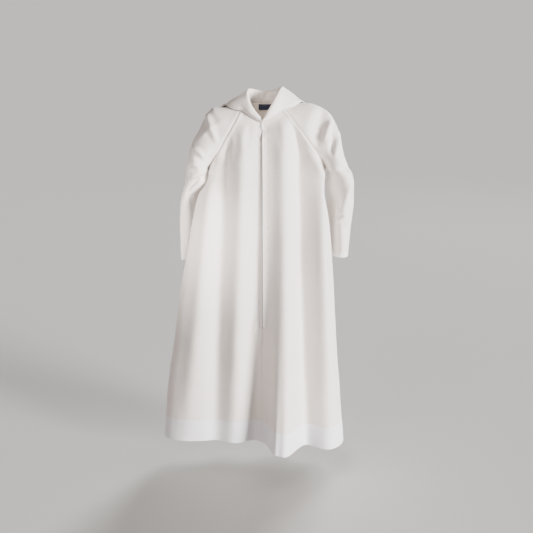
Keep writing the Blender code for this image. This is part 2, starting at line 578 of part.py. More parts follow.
def draw_in(points, faces, distances):
    """Moves the points of the open edges into the sheet by their distance, in its own plane."""
    used = {}
    for face in faces:
        for a, b in zip(face, face[1:] + face[:1]):
            used[(a, b)] = face
    moves, turns = {}, {}
    for (a, b), face in used.items():
        if (b, a) in used:
            continue
        run = points[b] - points[a]
        run = run / np.linalg.norm(run)
        inward = np.mean([points[i] for i in face], axis=0) - points[a]
        inward = inward - run * np.dot(inward, run)
        inward = inward / np.linalg.norm(inward)
        for corner in (a, b):
            moves.setdefault(corner, []).append(inward)
    for corner, ways in moves.items():
        total = np.sum(ways, axis=0)
        stretch = min(2.0, len(ways) / max(np.dot(total, total), 1e-9) ** 0.5)
        turns[corner] = total / np.linalg.norm(total) * stretch * distances[corner]
    result = points.copy()
    for corner, move in turns.items():
        result[corner] = result[corner] + move
    return result


def wall_object(name, panel, gap, finish):
    """The panel as a closed solid: its outer points, the same moved in by the wall, and the rims."""
    _, first, numbers = np.unique(panel.weld, return_index=True, return_inverse=True)
    numbers = numbers.reshape(-1)
    outer = panel.points[first]
    faces = [tuple(int(numbers[i]) for i in face) for face in panel.faces]
    gaps = (gap.reshape(-1) if isinstance(gap, np.ndarray) else np.full(len(panel.points), gap))[first]
    drawn = draw_in(outer, faces, gaps)
    inner = drawn - panel.normals[first] * panel.wall[first][:, None]
    count = len(outer)
    edges = {(a, b) for face in faces for a, b in zip(face, face[1:] + face[:1])}
    solid = list(faces) + [tuple(i + count for i in reversed(face)) for face in faces]
    solid += [(b, a, a + count, b + count) for a, b in edges if (b, a) not in edges]
    return mesh_object(name, np.concatenate([drawn, inner]), solid, finish)


def mesh_object(name, points, faces, finish):
    mesh = bpy.data.meshes.new(name)
    mesh.from_pydata([tuple(map(float, p)) for p in points], [], faces)
    work = bmesh.new()
    work.from_mesh(mesh)
    bmesh.ops.triangulate(work, faces=work.faces, quad_method="SHORT_EDGE")
    bmesh.ops.recalc_face_normals(work, faces=work.faces)
    work.to_mesh(mesh)
    work.free()
    mesh.shade_smooth()
    mesh.set_sharp_from_angle(angle=math.radians(50))
    mesh.materials.append(material(finish))
    result = bpy.data.objects.new(name, mesh)
    bpy.context.collection.objects.link(result)
    return result


def material(finish):
    name = "finish_" + "_".join(f"{round(v * 255):03d}" for v in finish.colour)
    found = bpy.data.materials.get(name)
    if found:
        return found
    made = bpy.data.materials.new(name)
    made.use_nodes = True
    shader = made.node_tree.nodes["Principled BSDF"]
    shader.inputs["Base Color"].default_value = (*finish.colour, 1.0)
    shader.inputs["Roughness"].default_value = finish.roughness
    return made


# ---------------------------------------------------------------- the hood

def dense_curve(points, steps=10):
    """A smooth curve through the points, as a polyline."""
    points = np.array(points)
    padded = np.concatenate([2 * points[:1] - points[1:2], points, 2 * points[-1:] - points[-2:-1]])
    result = []
    for p0, p1, p2, p3 in zip(padded, padded[1:], padded[2:], padded[3:]):
        d0, d1, d2 = (max(np.linalg.norm(b - a), 1e-6) ** 0.5
                      for a, b in ((p0, p1), (p1, p2), (p2, p3)))
        m1 = (p2 - p1) + d1 * ((p1 - p0) / d0 - (p2 - p0) / (d0 + d1))
        m2 = (p2 - p1) + d1 * ((p3 - p2) / d2 - (p3 - p1) / (d1 + d2))
        for t in np.arange(steps) / steps:
            result.append(p1 * (1 + 2 * t) * (1 - t) ** 2 + m1 * t * (1 - t) ** 2
                          + p2 * t * t * (3 - 2 * t) + m2 * t * t * (t - 1))
    return np.array(result + [points[-1]])


def neckline(side, front, sleeve, back):
    """The neck's points from the zip round to the back centre, each with its panel's column below it."""
    columns = []
    for panel, first in ((front, 0), (sleeve, 1), (back, 1)):
        grid = panel.grid()
        normals = panel.normals.reshape(grid.shape)
        order = range(grid.shape[1])
        if panel is back:
            order = list(order)[::-1] if side == "left" else order
            order = [j for j in order if abs(grid[-1, j, 0]) < 1 and
                     (grid[0, j, 0] >= -1e-6 if side == "left" else grid[0, j, 0] <= 1e-6)]
        for j in list(order)[first:]:
            columns.append((grid[:, j], normals[:, j]))
    return columns


def along(column, distance):
    """The place on a panel's column at a distance below the neck, with its normal and its run."""
    points, normals = column
    steps = np.linalg.norm(np.diff(points, axis=0), axis=1)
    reach = np.concatenate([[0.0], np.cumsum(steps)])
    i = min(max(int(np.searchsorted(reach, distance, side="right")) - 1, 0), len(steps) - 1)
    t = (distance - reach[i]) / steps[i]
    normal = normals[i] * (1 - t) + normals[i + 1] * t
    run = points[i + 1] - points[i]
    return points[i] + run * t, normal / np.linalg.norm(normal), run / np.linalg.norm(run)


def hood_curve(side, column, w):
    """One line of the hood, from the neck seam over the roll to its free edge, and its key lengths."""
    row = {name: float(read(HOOD[side], name, w)) for name in HoodColumn._fields}
    mirror = -1 if side == "right" else 1
    neck = column[0][0]
    crest = np.array([mirror * row["x"], row["y"], row["z"]])
    out = flat_unit(crest - np.array([0.006, 0.004, 0.0]))
    up = np.array([0.0, 0.0, 1.0])
    radius = ROLL_RADIUS * (0.55 + 0.45 * float(ease(0.0, 0.3, w)))
    stand_top = crest - out * radius - up * radius
    fall_top = crest + out * radius - up * radius
    stand = (neck + stand_top) / 2 - out * 0.002
    place, normal, _ = along(column, row["reach"] * row["land"])
    landing = place + normal * row["lift"]
    middle = (fall_top + landing) / 2 + flat_unit(fall_top - crest) * 0.003 + up * 0.001
    points = [neck, stand, stand_top, crest, fall_top, middle, landing]
    marks = [2, 3, 4]
    foot, normal, run = along(column, row["reach"])
    clear = HOOD_CLEARANCE
    if row["turn"] > 0:
        for share in (0.5, 1.0):
            at = row["reach"] * (row["land"] + (1 - row["land"]) * share)
            place, side_normal, _ = along(column, at)
            points.append(place + side_normal * (clear + (row["lift"] - clear) * (1 - share)))
        marks.append(len(points) - 1)
        radius = POUCH_RADIUS * row["turn"]
        for share in (0.34, 0.67, 1.0):
            angle = math.pi * row["turn"] * share
            points.append(foot + normal * (clear + radius * (1 - math.cos(angle)))
                          + run * radius * math.sin(angle))
        marks.append(len(points) - 1)
        for share in (0.25, 0.5, 0.75, 1.0):
            place, side_normal, _ = along(column, row["reach"] - row["rise"] * share)
            stand_off = clear + radius * (1 - math.cos(math.pi * row["turn"]))
            stand_off += POUCH_PUFF * row["turn"] * math.sin(math.pi * (0.15 + 0.6 * share))
            points.append(place + side_normal * stand_off)
    else:
        points.append(foot + normal * clear)
    return np.array(points), marks, row["turn"]


def hood_line(side, column, w, rows):
    """The hood's line at even spacing in front, and by its features where it forms the pouch."""
    points, marks, turn = hood_curve(side, column, w)
    steps = 10
    dense = dense_curve(points, steps)
    reach = np.concatenate([[0.0], np.cumsum(np.linalg.norm(np.diff(dense, axis=0), axis=1))])
    even = np.linspace(0, reach[-1], rows)
    target = even
    if turn > 0:
        at = [reach[mark * steps] for mark in marks]
        counts = ((0.0, at[0], 2), (at[0], at[1], 1), (at[1], at[2], 1), (at[2], at[3], 5),
                  (at[3], at[4], 3), (at[4], reach[-1], rows - 13))
        placed = [0.0]
        for low, high, count in counts:
            placed += [low + (high - low) * (k + 1) / count for k in range(count)]
        share = float(ease(0.0, 0.8, turn))
        target = even * (1 - share) + np.array(placed) * share
    return np.stack([np.interp(target, reach, dense[:, axis]) for axis in range(3)], axis=1)


def hood_grid(side, columns, stride, rows):
    picked = columns[::stride]
    if (len(columns) - 1) % stride:
        picked.append(columns[-1])
    start = np.array([column[0][0] for column in picked])
    lengths = np.concatenate([[0.0], np.cumsum(np.linalg.norm(np.diff(start, axis=0), axis=1))])
    shares = lengths / lengths[-1]
    lines = [hood_line(side, column, w, rows) for column, w in zip(picked, shares)]
    normals = np.array([column[1][0] for column in picked])
    return np.stack(lines, axis=1), normals


# ---------------------------------------------------------------- trim

def ribbon(name, near, far, near_normals, far_normals, thick, finish):
    """A strip whose front lies on two lines of points, with its thickness behind them."""
    count = len(near)
    points = np.concatenate([near, far, far - far_normals * thick, near - near_normals * thick])
    faces = []
    for i in range(count - 1):
        for side in range(4):
            a = side * count + i
            b = ((side + 1) % 4) * count + i
            faces.append((a, a + 1, b + 1, b))
    faces.append(tuple(side * count for side in range(4)))
    faces.append(tuple(side * count + count - 1 for side in reversed(range(4))))
    return mesh_object(name, points, faces, finish)


def prism(name, outline, low, high, finish):
    """A bar along X between low and high, with its section a list of (y, z) points."""
    count = len(outline)
    points = [(x, y, z) for x in (low, high) for y, z in outline]
    faces = [tuple(range(count)), tuple(reversed(range(count, 2 * count)))]
    faces += [(i + count, (i + 1) % count + count, (i + 1) % count, i) for i in range(count)]
    return mesh_object(name, points, faces, finish)


def plate_with_eye(name, across, down, eye, thick, finish):
    """A flat plate made of cells between the values of across and down, but for the eye's cell."""
    points = [(x, y, z) for y in (-thick / 2, thick / 2) for z in down for x in across]
    count = len(across) * len(down)
    cells = [(i, j) for i in range(len(down) - 1) for j in range(len(across) - 1) if (i, j) != eye]
    faces = [(i * len(across) + j, (i + 1) * len(across) + j, (i + 1) * len(across) + j + 1,
              i * len(across) + j + 1) for i, j in cells]
    edges = {(a, b) for face in faces for a, b in zip(face, face[1:] + face[:1])}
    solid = faces + [tuple(i + count for i in reversed(face)) for face in faces]
    solid += [(b, a, a + count, b + count) for a, b in edges if (b, a) not in edges]
    return mesh_object(name, points, solid, finish)


def between(grid, normals, distance):
    """The points of each row at a distance from its first column, with their normals."""
    step = grid[:, 1] - grid[:, 0]
    share = (distance / np.linalg.norm(step, axis=1))[:, None]
    turned = normals[:, 0] * (1 - share) + normals[:, 1] * share
    return grid[:, 0] + step * share, turned / np.linalg.norm(turned, axis=1)[:, None]


def shortened(line, top, bottom):
    """A line of points with its first and last moved along it, so that its ends stand clear."""
    result = line.copy()
    first, last = line[1] - line[0], line[-2] - line[-1]
    result[0] = line[0] + first / np.linalg.norm(first) * top
    result[-1] = line[-1] + last / np.linalg.norm(last) * bottom
    return result


def zip_pieces(front_left, front_right, steps):
    """The tapes behind the front edges and the chain between them."""
    rows = [i for i, (q, z) in enumerate(steps) if z is None or z >= ZIP_END_Z - 1e-6]
    left, right = front_left.grid()[rows], front_right.grid()[rows]
    centre = (left[:, 0] + right[:, 0]) / 2
    middle = front_left.normals.reshape(*front_left.shape, 3)[rows, 0] * np.array([0.0, 1.0, 1.0])
    middle = middle / np.linalg.norm(middle, axis=1)[:, None]
    behind = -(CLOTH + TAPE_GAP)
    for panel, grid, name in ((front_left, left, "zip_tape_left"),
                              (front_right, right, "zip_tape_right")):
        normals = panel.normals.reshape(*panel.shape, 3)[rows]
        near, near_normals = between(grid, normals, (TAPE_PARTING - ZIP_GAP) / 2)
        far, far_normals = between(grid, normals, TAPE_WIDTH - ZIP_GAP / 2)
        ribbon(name, shortened(near + near_normals * behind, TAPE_TOP, 0.0),
               shortened(far + far_normals * behind, TAPE_TOP, 0.0),
               near_normals, far_normals, TAPE_THICK, TAPE)
    across = np.array([CHAIN_WIDTH / 2, 0.0, 0.0])
    line = shortened(centre - middle * CHAIN_SUNK, CHAIN_TOP, STOP_LENGTH)
    ribbon("zip_chain", line - across, line + across, middle, middle, CHAIN_THICK, TAPE)
    foot, normal = line[-1], middle[-1]
    down = (centre[-1] - centre[-2]) / np.linalg.norm(centre[-1] - centre[-2])
    stop = np.array([foot + down * SEAM_GAP, foot + down * (STOP_LENGTH - SEAM_GAP)])
    normals = np.array([normal, normal])
    ribbon("zip_stop", stop - across, stop + across, normals, normals, CHAIN_THICK, ENAMEL)
    slider_and_pull(centre[0], centre[1])


def slider_and_pull(neck, below):
    """The slider at the top of the chain, with a bridge that holds the eye of the pull tab."""
    run = (below - neck) / np.linalg.norm(below - neck)
    tilt = -math.atan2(-run[1], -run[2])
    across, thick, length = SLIDER_PLATE
    face = -SLIDER_STAND_OFF - thick
    span_out, span_down = BRIDGE_SPAN
    inner, outer, sunk = face - span_out, face - span_out - BRIDGE_BAR, face + thick / 2
    top, bottom = -BRIDGE_TOP, -BRIDGE_TOP - 2 * BRIDGE_BAR - span_down
    arch = ((sunk, top), (outer, top), (outer, bottom), (sunk, bottom), (sunk, bottom + BRIDGE_BAR),
            (inner, bottom + BRIDGE_BAR), (inner, top - BRIDGE_BAR), (sunk, top - BRIDGE_BAR))
    plate = ((face, 0.0), (face, -length), (-SLIDER_STAND_OFF, -length), (-SLIDER_STAND_OFF, 0.0))
    slider = prism("zip_slider", plate, -across / 2, across / 2, ENAMEL)
    bridge = prism("zip_slider_bridge", arch, -BRIDGE_HALF, BRIDGE_HALF, ENAMEL)
    union = slider.modifiers.new("bridge", "BOOLEAN")
    union.operation = "UNION"
    union.object = bridge
    bridge.hide_render = True
    bridge.display_type = "WIRE"
    bridge.parent = slider
    slider.location = neck + run * SLIDER_TOP
    slider.rotation_euler.x = tilt

    hinge = np.array([0.0, face - span_out / 2, (top + bottom) / 2])
    turn = np.array([[1, 0, 0], [0, math.cos(tilt), -math.sin(tilt)], [0, math.sin(tilt), math.cos(tilt)]])
    inside = PULL_HALF - PULL_ARM
    pull = plate_with_eye("zip_pull", (-PULL_HALF, -inside, inside, PULL_HALF),
                          (PULL_BAR / 2, -PULL_BAR / 2, -PULL_EYE, -PULL_REACH), (1, 1),
                          PULL_THICK, ENAMEL)
    pull.location = np.array(slider.location) + turn @ hinge
    pull.rotation_euler.x = tilt


def neck_label(back):
    """The woven label inside the back neck, on the back's points moved in."""
    grid, normals = back.grid(), back.normals.reshape(*back.shape, 3)
    targets = LABEL_CENTRE_X + LABEL_WIDTH * np.linspace(-0.5, 0.5, 7)
    points, turned = [], []
    for down in (0.0, 0.5, 1.0):
        line = [along((grid[:, j], normals[:, j]), LABEL_TOP + LABEL_HEIGHT * down)
                for j in range(grid.shape[1])]
        places = np.array([place for place, _, _ in line])
        facing = np.array([normal for _, normal, _ in line])
        points.append(np.stack([np.interp(targets, places[:, 0], places[:, k]) for k in range(3)], axis=1))
        turned.append(np.stack([np.interp(targets, places[:, 0], facing[:, k]) for k in range(3)], axis=1))
    points, turned = np.array(points), np.array(turned)
    turned = turned / np.linalg.norm(turned, axis=2)[..., None]
    label = Panel("neck_label", points - turned * (CLOTH + LABEL_GAP), True,
                  np.full(points.shape[:2], LABEL_THICK))
    share_points([label])
    label.normals = turned.reshape(-1, 3)
    wall_object("neck_label", label, 0.0, NAVY)


def main():
    for old in list(bpy.data.objects):
        bpy.data.objects.remove(old)

    steps = torso_levels()
    heights = np.array([-1e3 if z is None else z for _, z in steps])
    torso_wall = np.where((heights > -10) & (heights <= HEM_Z + HEM_DEPTH + 1e-6), HEM_CLOTH, CLOTH)
    panels = {}
    for side in ("left", "right"):
        grid = half_grid(side, "front", FRONT_COLUMNS)
        wall = np.repeat(torso_wall[:, None], FRONT_COLUMNS + 1, axis=1)
        panels["front_" + side] = Panel("front_" + side, grid, side == "right", wall)
        grid = sleeve_grid(side, SLEEVE_COLUMNS)
        shares = np.array([0.0] * len(YOKE_STEPS) + list(ARM_STEPS))
        cuff = np.where(shares >= 1 - CUFF_DEPTH / ARM_LENGTH[side] - 0.01, HEM_CLOTH, CLOTH)
        wall = np.repeat(cuff[:, None], SLEEVE_COLUMNS + 1, axis=1)
        panels["sleeve_" + side] = Panel("sleeve_" + side, grid, side == "right", wall)
    left = half_grid("left", "back", BACK_COLUMNS)
    right = half_grid("right", "back", BACK_COLUMNS)
    grid = np.concatenate([right[:, ::-1], left[:, 1:]], axis=1)
    wall = np.repeat(torso_wall[:, None], grid.shape[1], axis=1)
    panels["back"] = Panel("back", grid, True, wall)

    cloth = list(panels.values())
    count = share_points(cloth)
    share_normals(cloth, count)
    for panel in cloth:
        grid = panel.grid()
        if panel.name.startswith("sleeve"):
            side = panel.name.split("_")[1]
            q_rows = np.array(list(YOKE_STEPS) + [1 + f for f in ARM_STEPS])
            t_columns = np.linspace(0, 2, grid.shape[1])
            depth = crease_depth(side, grid, q_rows, t_columns)
        else:
            folds = BACK_FOLDS if panel.name == "back" else FRONT_FOLDS
            depth = fold_depth(folds, grid[..., 0], grid[..., 2])
            across = np.linspace(-1 if panel.name == "back" else 0, 1, grid.shape[1])
            depth = depth * (1 - ease(0.78, 1.0, abs(across)))[None, :]
        panel.points = panel.points + panel.normals * depth.reshape(-1, 1)
    share_normals(cloth, count)

    for side, sign in (("left", 1), ("right", -1)):
        panel = panels["front_" + side]
        grid = panel.grid()
        for i, (q, z) in enumerate(steps):
            grid[i, 0, 0] = sign * ZIP_GAP / 2 if z is None or z >= ZIP_END_Z - 1e-6 else 0.0

    for panel in cloth:
        wall_object(panel.name, panel, SEAM_GAP / 2, COTTON)

    hoods, neck_normals = [], []
    for side in ("left", "right"):
        columns = neckline(side, panels["front_" + side], panels["sleeve_" + side], panels["back"])
        grid, normals = hood_grid(side, columns, HOOD_STRIDE, HOOD_ROWS)
        hoods.append(Panel("hood_" + side, grid, side == "left", np.full(grid.shape[:2], CLOTH)))
        neck_normals.append(normals)
    share_normals(hoods, share_points(hoods))
    for hood, normals in zip(hoods, neck_normals):
        turned = hood.normals.reshape(*hood.shape, 3)
        turned[0] = normals
        hood.normals = turned.reshape(-1, 3)
        gaps = np.full(hood.shape, SEAM_GAP / 2)
        gaps[0] = NECK_GAP
        wall_object(hood.name, hood, gaps, COTTON)

    zip_pieces(panels["front_left"], panels["front_right"], steps)
    neck_label(panels["back"])


main()
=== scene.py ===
"""Looks of a child's hooded alb: cloth shells, sewing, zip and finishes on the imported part.

Metres, +Z up, the front towards -Y, +X on the wearer's left. The cloth is worked out from the same
rows as the solids, on a finer grid, with the smaller creases, the seams and the stitches added.
"""

from __future__ import annotations

import logging
import math
from dataclasses import dataclass, field
from enum import StrEnum

import bpy
import numpy as np
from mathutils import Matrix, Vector, noise

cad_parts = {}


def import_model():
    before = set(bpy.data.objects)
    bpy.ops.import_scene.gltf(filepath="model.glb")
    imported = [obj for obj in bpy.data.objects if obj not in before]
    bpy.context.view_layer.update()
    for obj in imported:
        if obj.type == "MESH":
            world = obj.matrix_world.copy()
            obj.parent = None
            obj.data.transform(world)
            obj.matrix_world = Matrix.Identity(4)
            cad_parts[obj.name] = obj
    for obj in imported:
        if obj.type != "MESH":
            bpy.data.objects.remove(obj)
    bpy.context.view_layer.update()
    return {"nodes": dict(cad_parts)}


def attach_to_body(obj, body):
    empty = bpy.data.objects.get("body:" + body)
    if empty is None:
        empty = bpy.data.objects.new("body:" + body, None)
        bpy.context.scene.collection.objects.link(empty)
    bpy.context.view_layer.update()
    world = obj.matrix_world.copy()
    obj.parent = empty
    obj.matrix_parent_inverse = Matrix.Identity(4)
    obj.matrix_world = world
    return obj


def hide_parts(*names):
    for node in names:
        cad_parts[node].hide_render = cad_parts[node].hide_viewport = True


LOG = logging.getLogger("alb")
ROBE_BODY, PULL_BODY = "robe", "pull_tab"
Place = tuple[float, float, float]
Level = tuple[float | None, float | None]  # a share of the raglan seam, or a height below it


class Side(StrEnum):
    """A side of the robe, as its wearer has it."""

    LEFT = "left"
    RIGHT = "right"

    @property
    def sign(self) -> int:
        """Returns the sign of X on this side."""
        return 1 if self is Side.LEFT else -1


class Face(StrEnum):
    """The front or the back of the robe."""

    FRONT = "front"
    BACK = "back"

    @property
    def sign(self) -> int:
        """Returns the sign of Y on this face."""
        return -1 if self is Face.FRONT else 1


# ---------------------------------------------------------------- sizes that pieces share

CLOTH = 0.0016  # one layer
HEM_CLOTH = 0.0027  # the layers of a turned-up hem
SEAM_GAP = 0.0003
NECK_GAP = 0.0006  # between the hood and what it is sewn to
UNDERARM_Z = -0.188
ZIP_END_Z = -0.668
HEM_Z = -1.045
HEM_TOP_Z = HEM_Z + 0.070  # where the turned-up hem is stitched down
FACING_WIDTH = 0.0105  # the folded-back strip beside the zip
CUFF_DEPTH = 0.012
EDGE_ROUND = 0.3  # how far an edge is rounded sideways, as a share of its wall
FADE_FROM = 0.70  # the depth from which the lesser folds fade out towards the hem
CELL = 0.0042  # the cloth grid's aim
NEAR = 1e-6  # rows this close to a line count as on it


@dataclass(frozen=True)
class Table:
    """Rows of numbers with named columns, read by the first column.

    Args:
        columns: the names, apart by spaces.
        rows: one tuple for each section, fold or crease.
    """

    columns: str
    rows: tuple[tuple[float, ...], ...]

    def column(self, name: str) -> np.ndarray:
        """Returns one whole column."""
        index = self.columns.split().index(name)
        return np.array([row[index] for row in self.rows], float)

    def records(self) -> list[dict[str, float]]:
        """Returns each row as a mapping from column to number."""
        return [dict(zip(self.columns.split(), row)) for row in self.rows]

    def read(self, name: str, at: float | np.ndarray) -> np.ndarray:
        """Reads a column on a smooth curve that never overshoots.

        Args:
            name: of the column.
            at: values of the first column.

        Returns:
            The column's value at each of them.
        """
        keys, values = self.column(self.columns.split()[0]), self.column(name)
        steps = np.diff(keys)
        rises = np.diff(values) / steps
        slopes = np.concatenate([rises[:1], np.zeros(len(keys) - 2), rises[-1:]])
        for i in range(1, len(keys) - 1):
            if rises[i - 1] * rises[i] > 0:
                before, after = 2 * steps[i] + steps[i - 1], steps[i] + 2 * steps[i - 1]
                slopes[i] = (before + after) / (before / rises[i - 1] + after / rises[i])
        at = np.clip(np.asarray(at, float), keys[0], keys[-1])
        i = np.clip(np.searchsorted(keys, at, side="right") - 1, 0, len(keys) - 2)
        return hermite(values[i], values[i + 1], slopes[i] * steps[i], slopes[i + 1] * steps[i],
                       (at - keys[i]) / steps[i])

    def point(self, prefix: str, at: float) -> np.ndarray:
        """Returns the place whose x, y and z columns start with the prefix."""
        return np.array([self.read(prefix + axis, at) for axis in "xyz"], float)


# ---------------------------------------------------------------- curves and grids

def hermite(a: np.ndarray, b: np.ndarray, leave: np.ndarray, arrive: np.ndarray,
            t: float | np.ndarray) -> np.ndarray:
    """Returns the curve from a to b with these slopes at its ends, at each t from 0 to 1."""
    return (a * (1 + 2 * t) * (1 - t) ** 2 + leave * t * (1 - t) ** 2
            + b * t * t * (3 - 2 * t) + arrive * t * t * (t - 1))


BEZIER_BULGE = 0.75  # how far out a curve gets whose handles both go one way, as a share of them


def bezier(p0: np.ndarray, p1: np.ndarray, p2: np.ndarray, p3: np.ndarray,
           t: np.ndarray) -> np.ndarray:
    """Returns the points of a cubic curve at each t."""
    t = t[:, None]
    return p0 * (1 - t) ** 3 + 3 * p1 * t * (1 - t) ** 2 + 3 * p2 * t * t * (1 - t) + p3 * t ** 3


def ease(low: float, high: float, value: float | np.ndarray) -> np.ndarray:
    """Returns 0 below low, 1 above high and a smooth share between."""
    t = np.clip((value - low) / (high - low), 0.0, 1.0)
    return t * t * (3 - 2 * t)


def bell(offset: float | np.ndarray, half: float | np.ndarray) -> np.ndarray:
    """Returns 1 at no offset, falling off smoothly over about twice half."""
    return np.exp(-(offset / half) ** 2)


def heading(degrees: float) -> np.ndarray:
    """Returns the level direction at an angle from +X towards +Y."""
    angle = math.radians(degrees)
    return np.array([math.cos(angle), math.sin(angle), 0.0])


def unit(vectors: np.ndarray) -> np.ndarray:
    """Returns the vectors at length 1."""
    return vectors / np.maximum(np.linalg.norm(vectors, axis=-1, keepdims=True), 1e-12)


def run_length(points: np.ndarray) -> np.ndarray:
    """Returns each point's distance along a line from its start."""
    return np.concatenate([[0.0], np.cumsum(np.linalg.norm(np.diff(points, axis=0), axis=1))])


def read_line(at: float | np.ndarray, reach: np.ndarray, points: np.ndarray) -> np.ndarray:
    """Returns the places at some distances along a line of points."""
    return np.stack([np.interp(at, reach, points[:, axis]) for axis in range(3)], axis=-1)


def reach_along(grid: np.ndarray, axis: int) -> np.ndarray:
    """Returns the distance of each grid point from the grid's start, along one axis."""
    steps = np.linalg.norm(np.diff(grid, axis=axis), axis=2)
    start = np.zeros_like(steps.take([0], axis=axis))
    return np.concatenate([start, np.cumsum(steps, axis=axis)], axis=axis)


def to_edge(reach: np.ndarray) -> np.ndarray:
    """Returns the distance to the nearer side of a panel."""
    return np.minimum(reach, reach[:, -1:] - reach)


def both_ends(width: float, columns: np.ndarray) -> np.ndarray:
    """Returns 0 at the sleeve's underarm seam and 1 away from it, by the column's place 0 to 2."""
    return np.minimum(ease(0.0, width, columns), ease(0.0, width, 2 - columns))[None, :]


def wobble(points: np.ndarray, size: float, seed: float) -> np.ndarray:
    """Returns smooth uneven values, about -1 to 1, that change over about size metres."""
    flat = points.reshape(-1, 3) / size + seed
    values = np.fromiter((noise.noise(Vector(p)) for p in flat), float, len(flat))
    return values.reshape(points.shape[:-1])


@dataclass(frozen=True)
class Ripple:
    """How uneven a cloth is.

    Args:
        rise: how far it stands up at most.
        size: about how far one rise reaches.
        seed: sets it apart from others.
    """

    rise: float
    size: float
    seed: float

    def depth(self, points: np.ndarray) -> np.ndarray:
        """Returns how far each point stands up."""
        return self.rise * wobble(points, self.size, self.seed)


def smooth_line(points: np.ndarray, steps: int) -> np.ndarray:
    """Draws a smooth curve through some points.

    Args:
        points: in order.
        steps: from each to the next.

    Returns:
        The curve's points.
    """
    padded = np.concatenate([2 * points[:1] - points[1:2], points, 2 * points[-1:] - points[-2:-1]])
    result = []
    for p0, p1, p2, p3 in zip(padded, padded[1:], padded[2:], padded[3:]):
        d0, d1, d2 = (max(float(np.linalg.norm(b - a)), 1e-6) ** 0.5
                      for a, b in ((p0, p1), (p1, p2), (p2, p3)))
        leave = (p2 - p1) + d1 * ((p1 - p0) / d0 - (p2 - p0) / (d0 + d1))
        arrive = (p2 - p1) + d1 * ((p3 - p2) / d2 - (p3 - p1) / (d1 + d2))
        result += [hermite(p1, p2, leave, arrive, t) for t in np.arange(steps) / steps]
    return np.array(result + [points[-1]])


# ---------------------------------------------------------------- the robe's tables

# The body's centre lines beside the raglan seams, by the share q of those seams from the neck.
YOKE = Table("q front_y front_z back_y back_z", (
    (0.0, -0.05, -0.048, 0.05, 0.0),
    (0.25, -0.066, -0.098, 0.059, -0.056),
    (0.5, -0.076, -0.145, 0.065, -0.112),
    (0.75, -0.082, -0.19, 0.069, -0.166),
    (0.9, -0.084, -0.215, 0.071, -0.198),
    (1.0, -0.085, -0.232, 0.072, -0.218),
))
# The body's sections below the underarm, by depth: where the side seams and the centre lines are,
# and how square the fronts' sides are.
TORSO = Table("depth left_x right_x left_y right_y front_y back_y left_corner right_corner", (
    (0.188, 0.1885, 0.161, 0.0, 0.0, -0.085, 0.072, 0.6, 0.6),
    (0.2, 0.18, 0.1585, -0.004, -0.003, -0.085, 0.072, 0.6, 0.6),
    (0.226, 0.1795, 0.1655, -0.01, -0.006, -0.085, 0.072, 0.6, 0.6),
    (0.245, 0.1815, 0.175, -0.013, -0.014, -0.085, 0.072, 0.6, 0.6),
    (0.262, 0.1845, 0.188, -0.016, -0.022, -0.085, 0.072, 0.6, 0.6),
    (0.33, 0.1975, 0.206, -0.022, -0.03, -0.084, 0.073, 0.6, 0.6),
    (0.44, 0.2095, 0.2275, -0.024, -0.032, -0.082, 0.075, 0.6, 0.6),
    (0.54, 0.2175, 0.248, -0.018, -0.022, -0.08, 0.079, 0.65, 0.6),
    (0.7, 0.229, 0.273, -0.01, -0.01, -0.078, 0.092, 0.75, 0.65),
    (0.9, 0.247, 0.3045, -0.01, -0.004, -0.076, 0.112, 1.0, 0.75),
    (1.045, 0.2595, 0.317, -0.014, -0.006, -0.074, 0.124, 1.5, 0.95),
))
# How far the hem hangs below level, by X.
HEM_DROP = Table("x drop", (
    (-0.31, 0.006),
    (-0.2, 0.0),
    (0.0, 0.0),
    (0.1, 0.01),
    (0.16, 0.017),
    (0.26, 0.02),
))
# Folds down the body, each a bell in section: its middle, half width and rise at its top and at the
# hem, how late it grows (power) and the share of it that is left at the hem (keep).
FOLD = "x_top x_low half_top half_low out_top out_low z_top power keep"
FOLDS = {
    Face.FRONT: Table(FOLD, (
        (0.06, 0.069, 0.024, 0.041, 0.014, 0.09, -0.06, 1.6, 1.0),
        (0.04, 0.034, 0.018, 0.017, 0.0, 0.034, -0.4, 1.6, 1.0),
        (0.11, 0.138, 0.021, 0.028, -0.028, -0.026, -0.05, 0.8, 0.8),
        (0.156, 0.205, 0.014, 0.03, 0.026, 0.03, -0.09, 0.9, 0.6),
        (-0.002, -0.03, 0.02, 0.024, -0.005, -0.014, -0.06, 0.8, 0.9),
        (-0.053, -0.09, 0.019, 0.03, 0.009, 0.017, -0.08, 1.0, 0.6),
        (-0.108, -0.152, 0.018, 0.03, -0.013, -0.02, -0.1, 0.9, 0.6),
        (-0.146, -0.24, 0.017, 0.036, 0.009, 0.013, -0.18, 1.0, 0.4),
    )),
    Face.BACK: Table(FOLD, (
        (0.06, 0.088, 0.022, 0.04, 0.004, 0.034, -0.2, 1.4, 0.8),
        (0.014, 0.014, 0.02, 0.034, -0.005, -0.018, -0.2, 1.1, 0.7),
        (-0.05, -0.07, 0.022, 0.042, 0.005, 0.03, -0.18, 1.3, 0.9),
        (-0.096, -0.146, 0.018, 0.032, -0.006, -0.018, -0.22, 1.0, 0.6),
        (0.12, 0.158, 0.018, 0.03, -0.004, -0.015, -0.26, 1.0, 0.8),
        (-0.13, -0.22, 0.022, 0.038, 0.003, 0.022, -0.4, 1.1, 0.7),
    )),
}
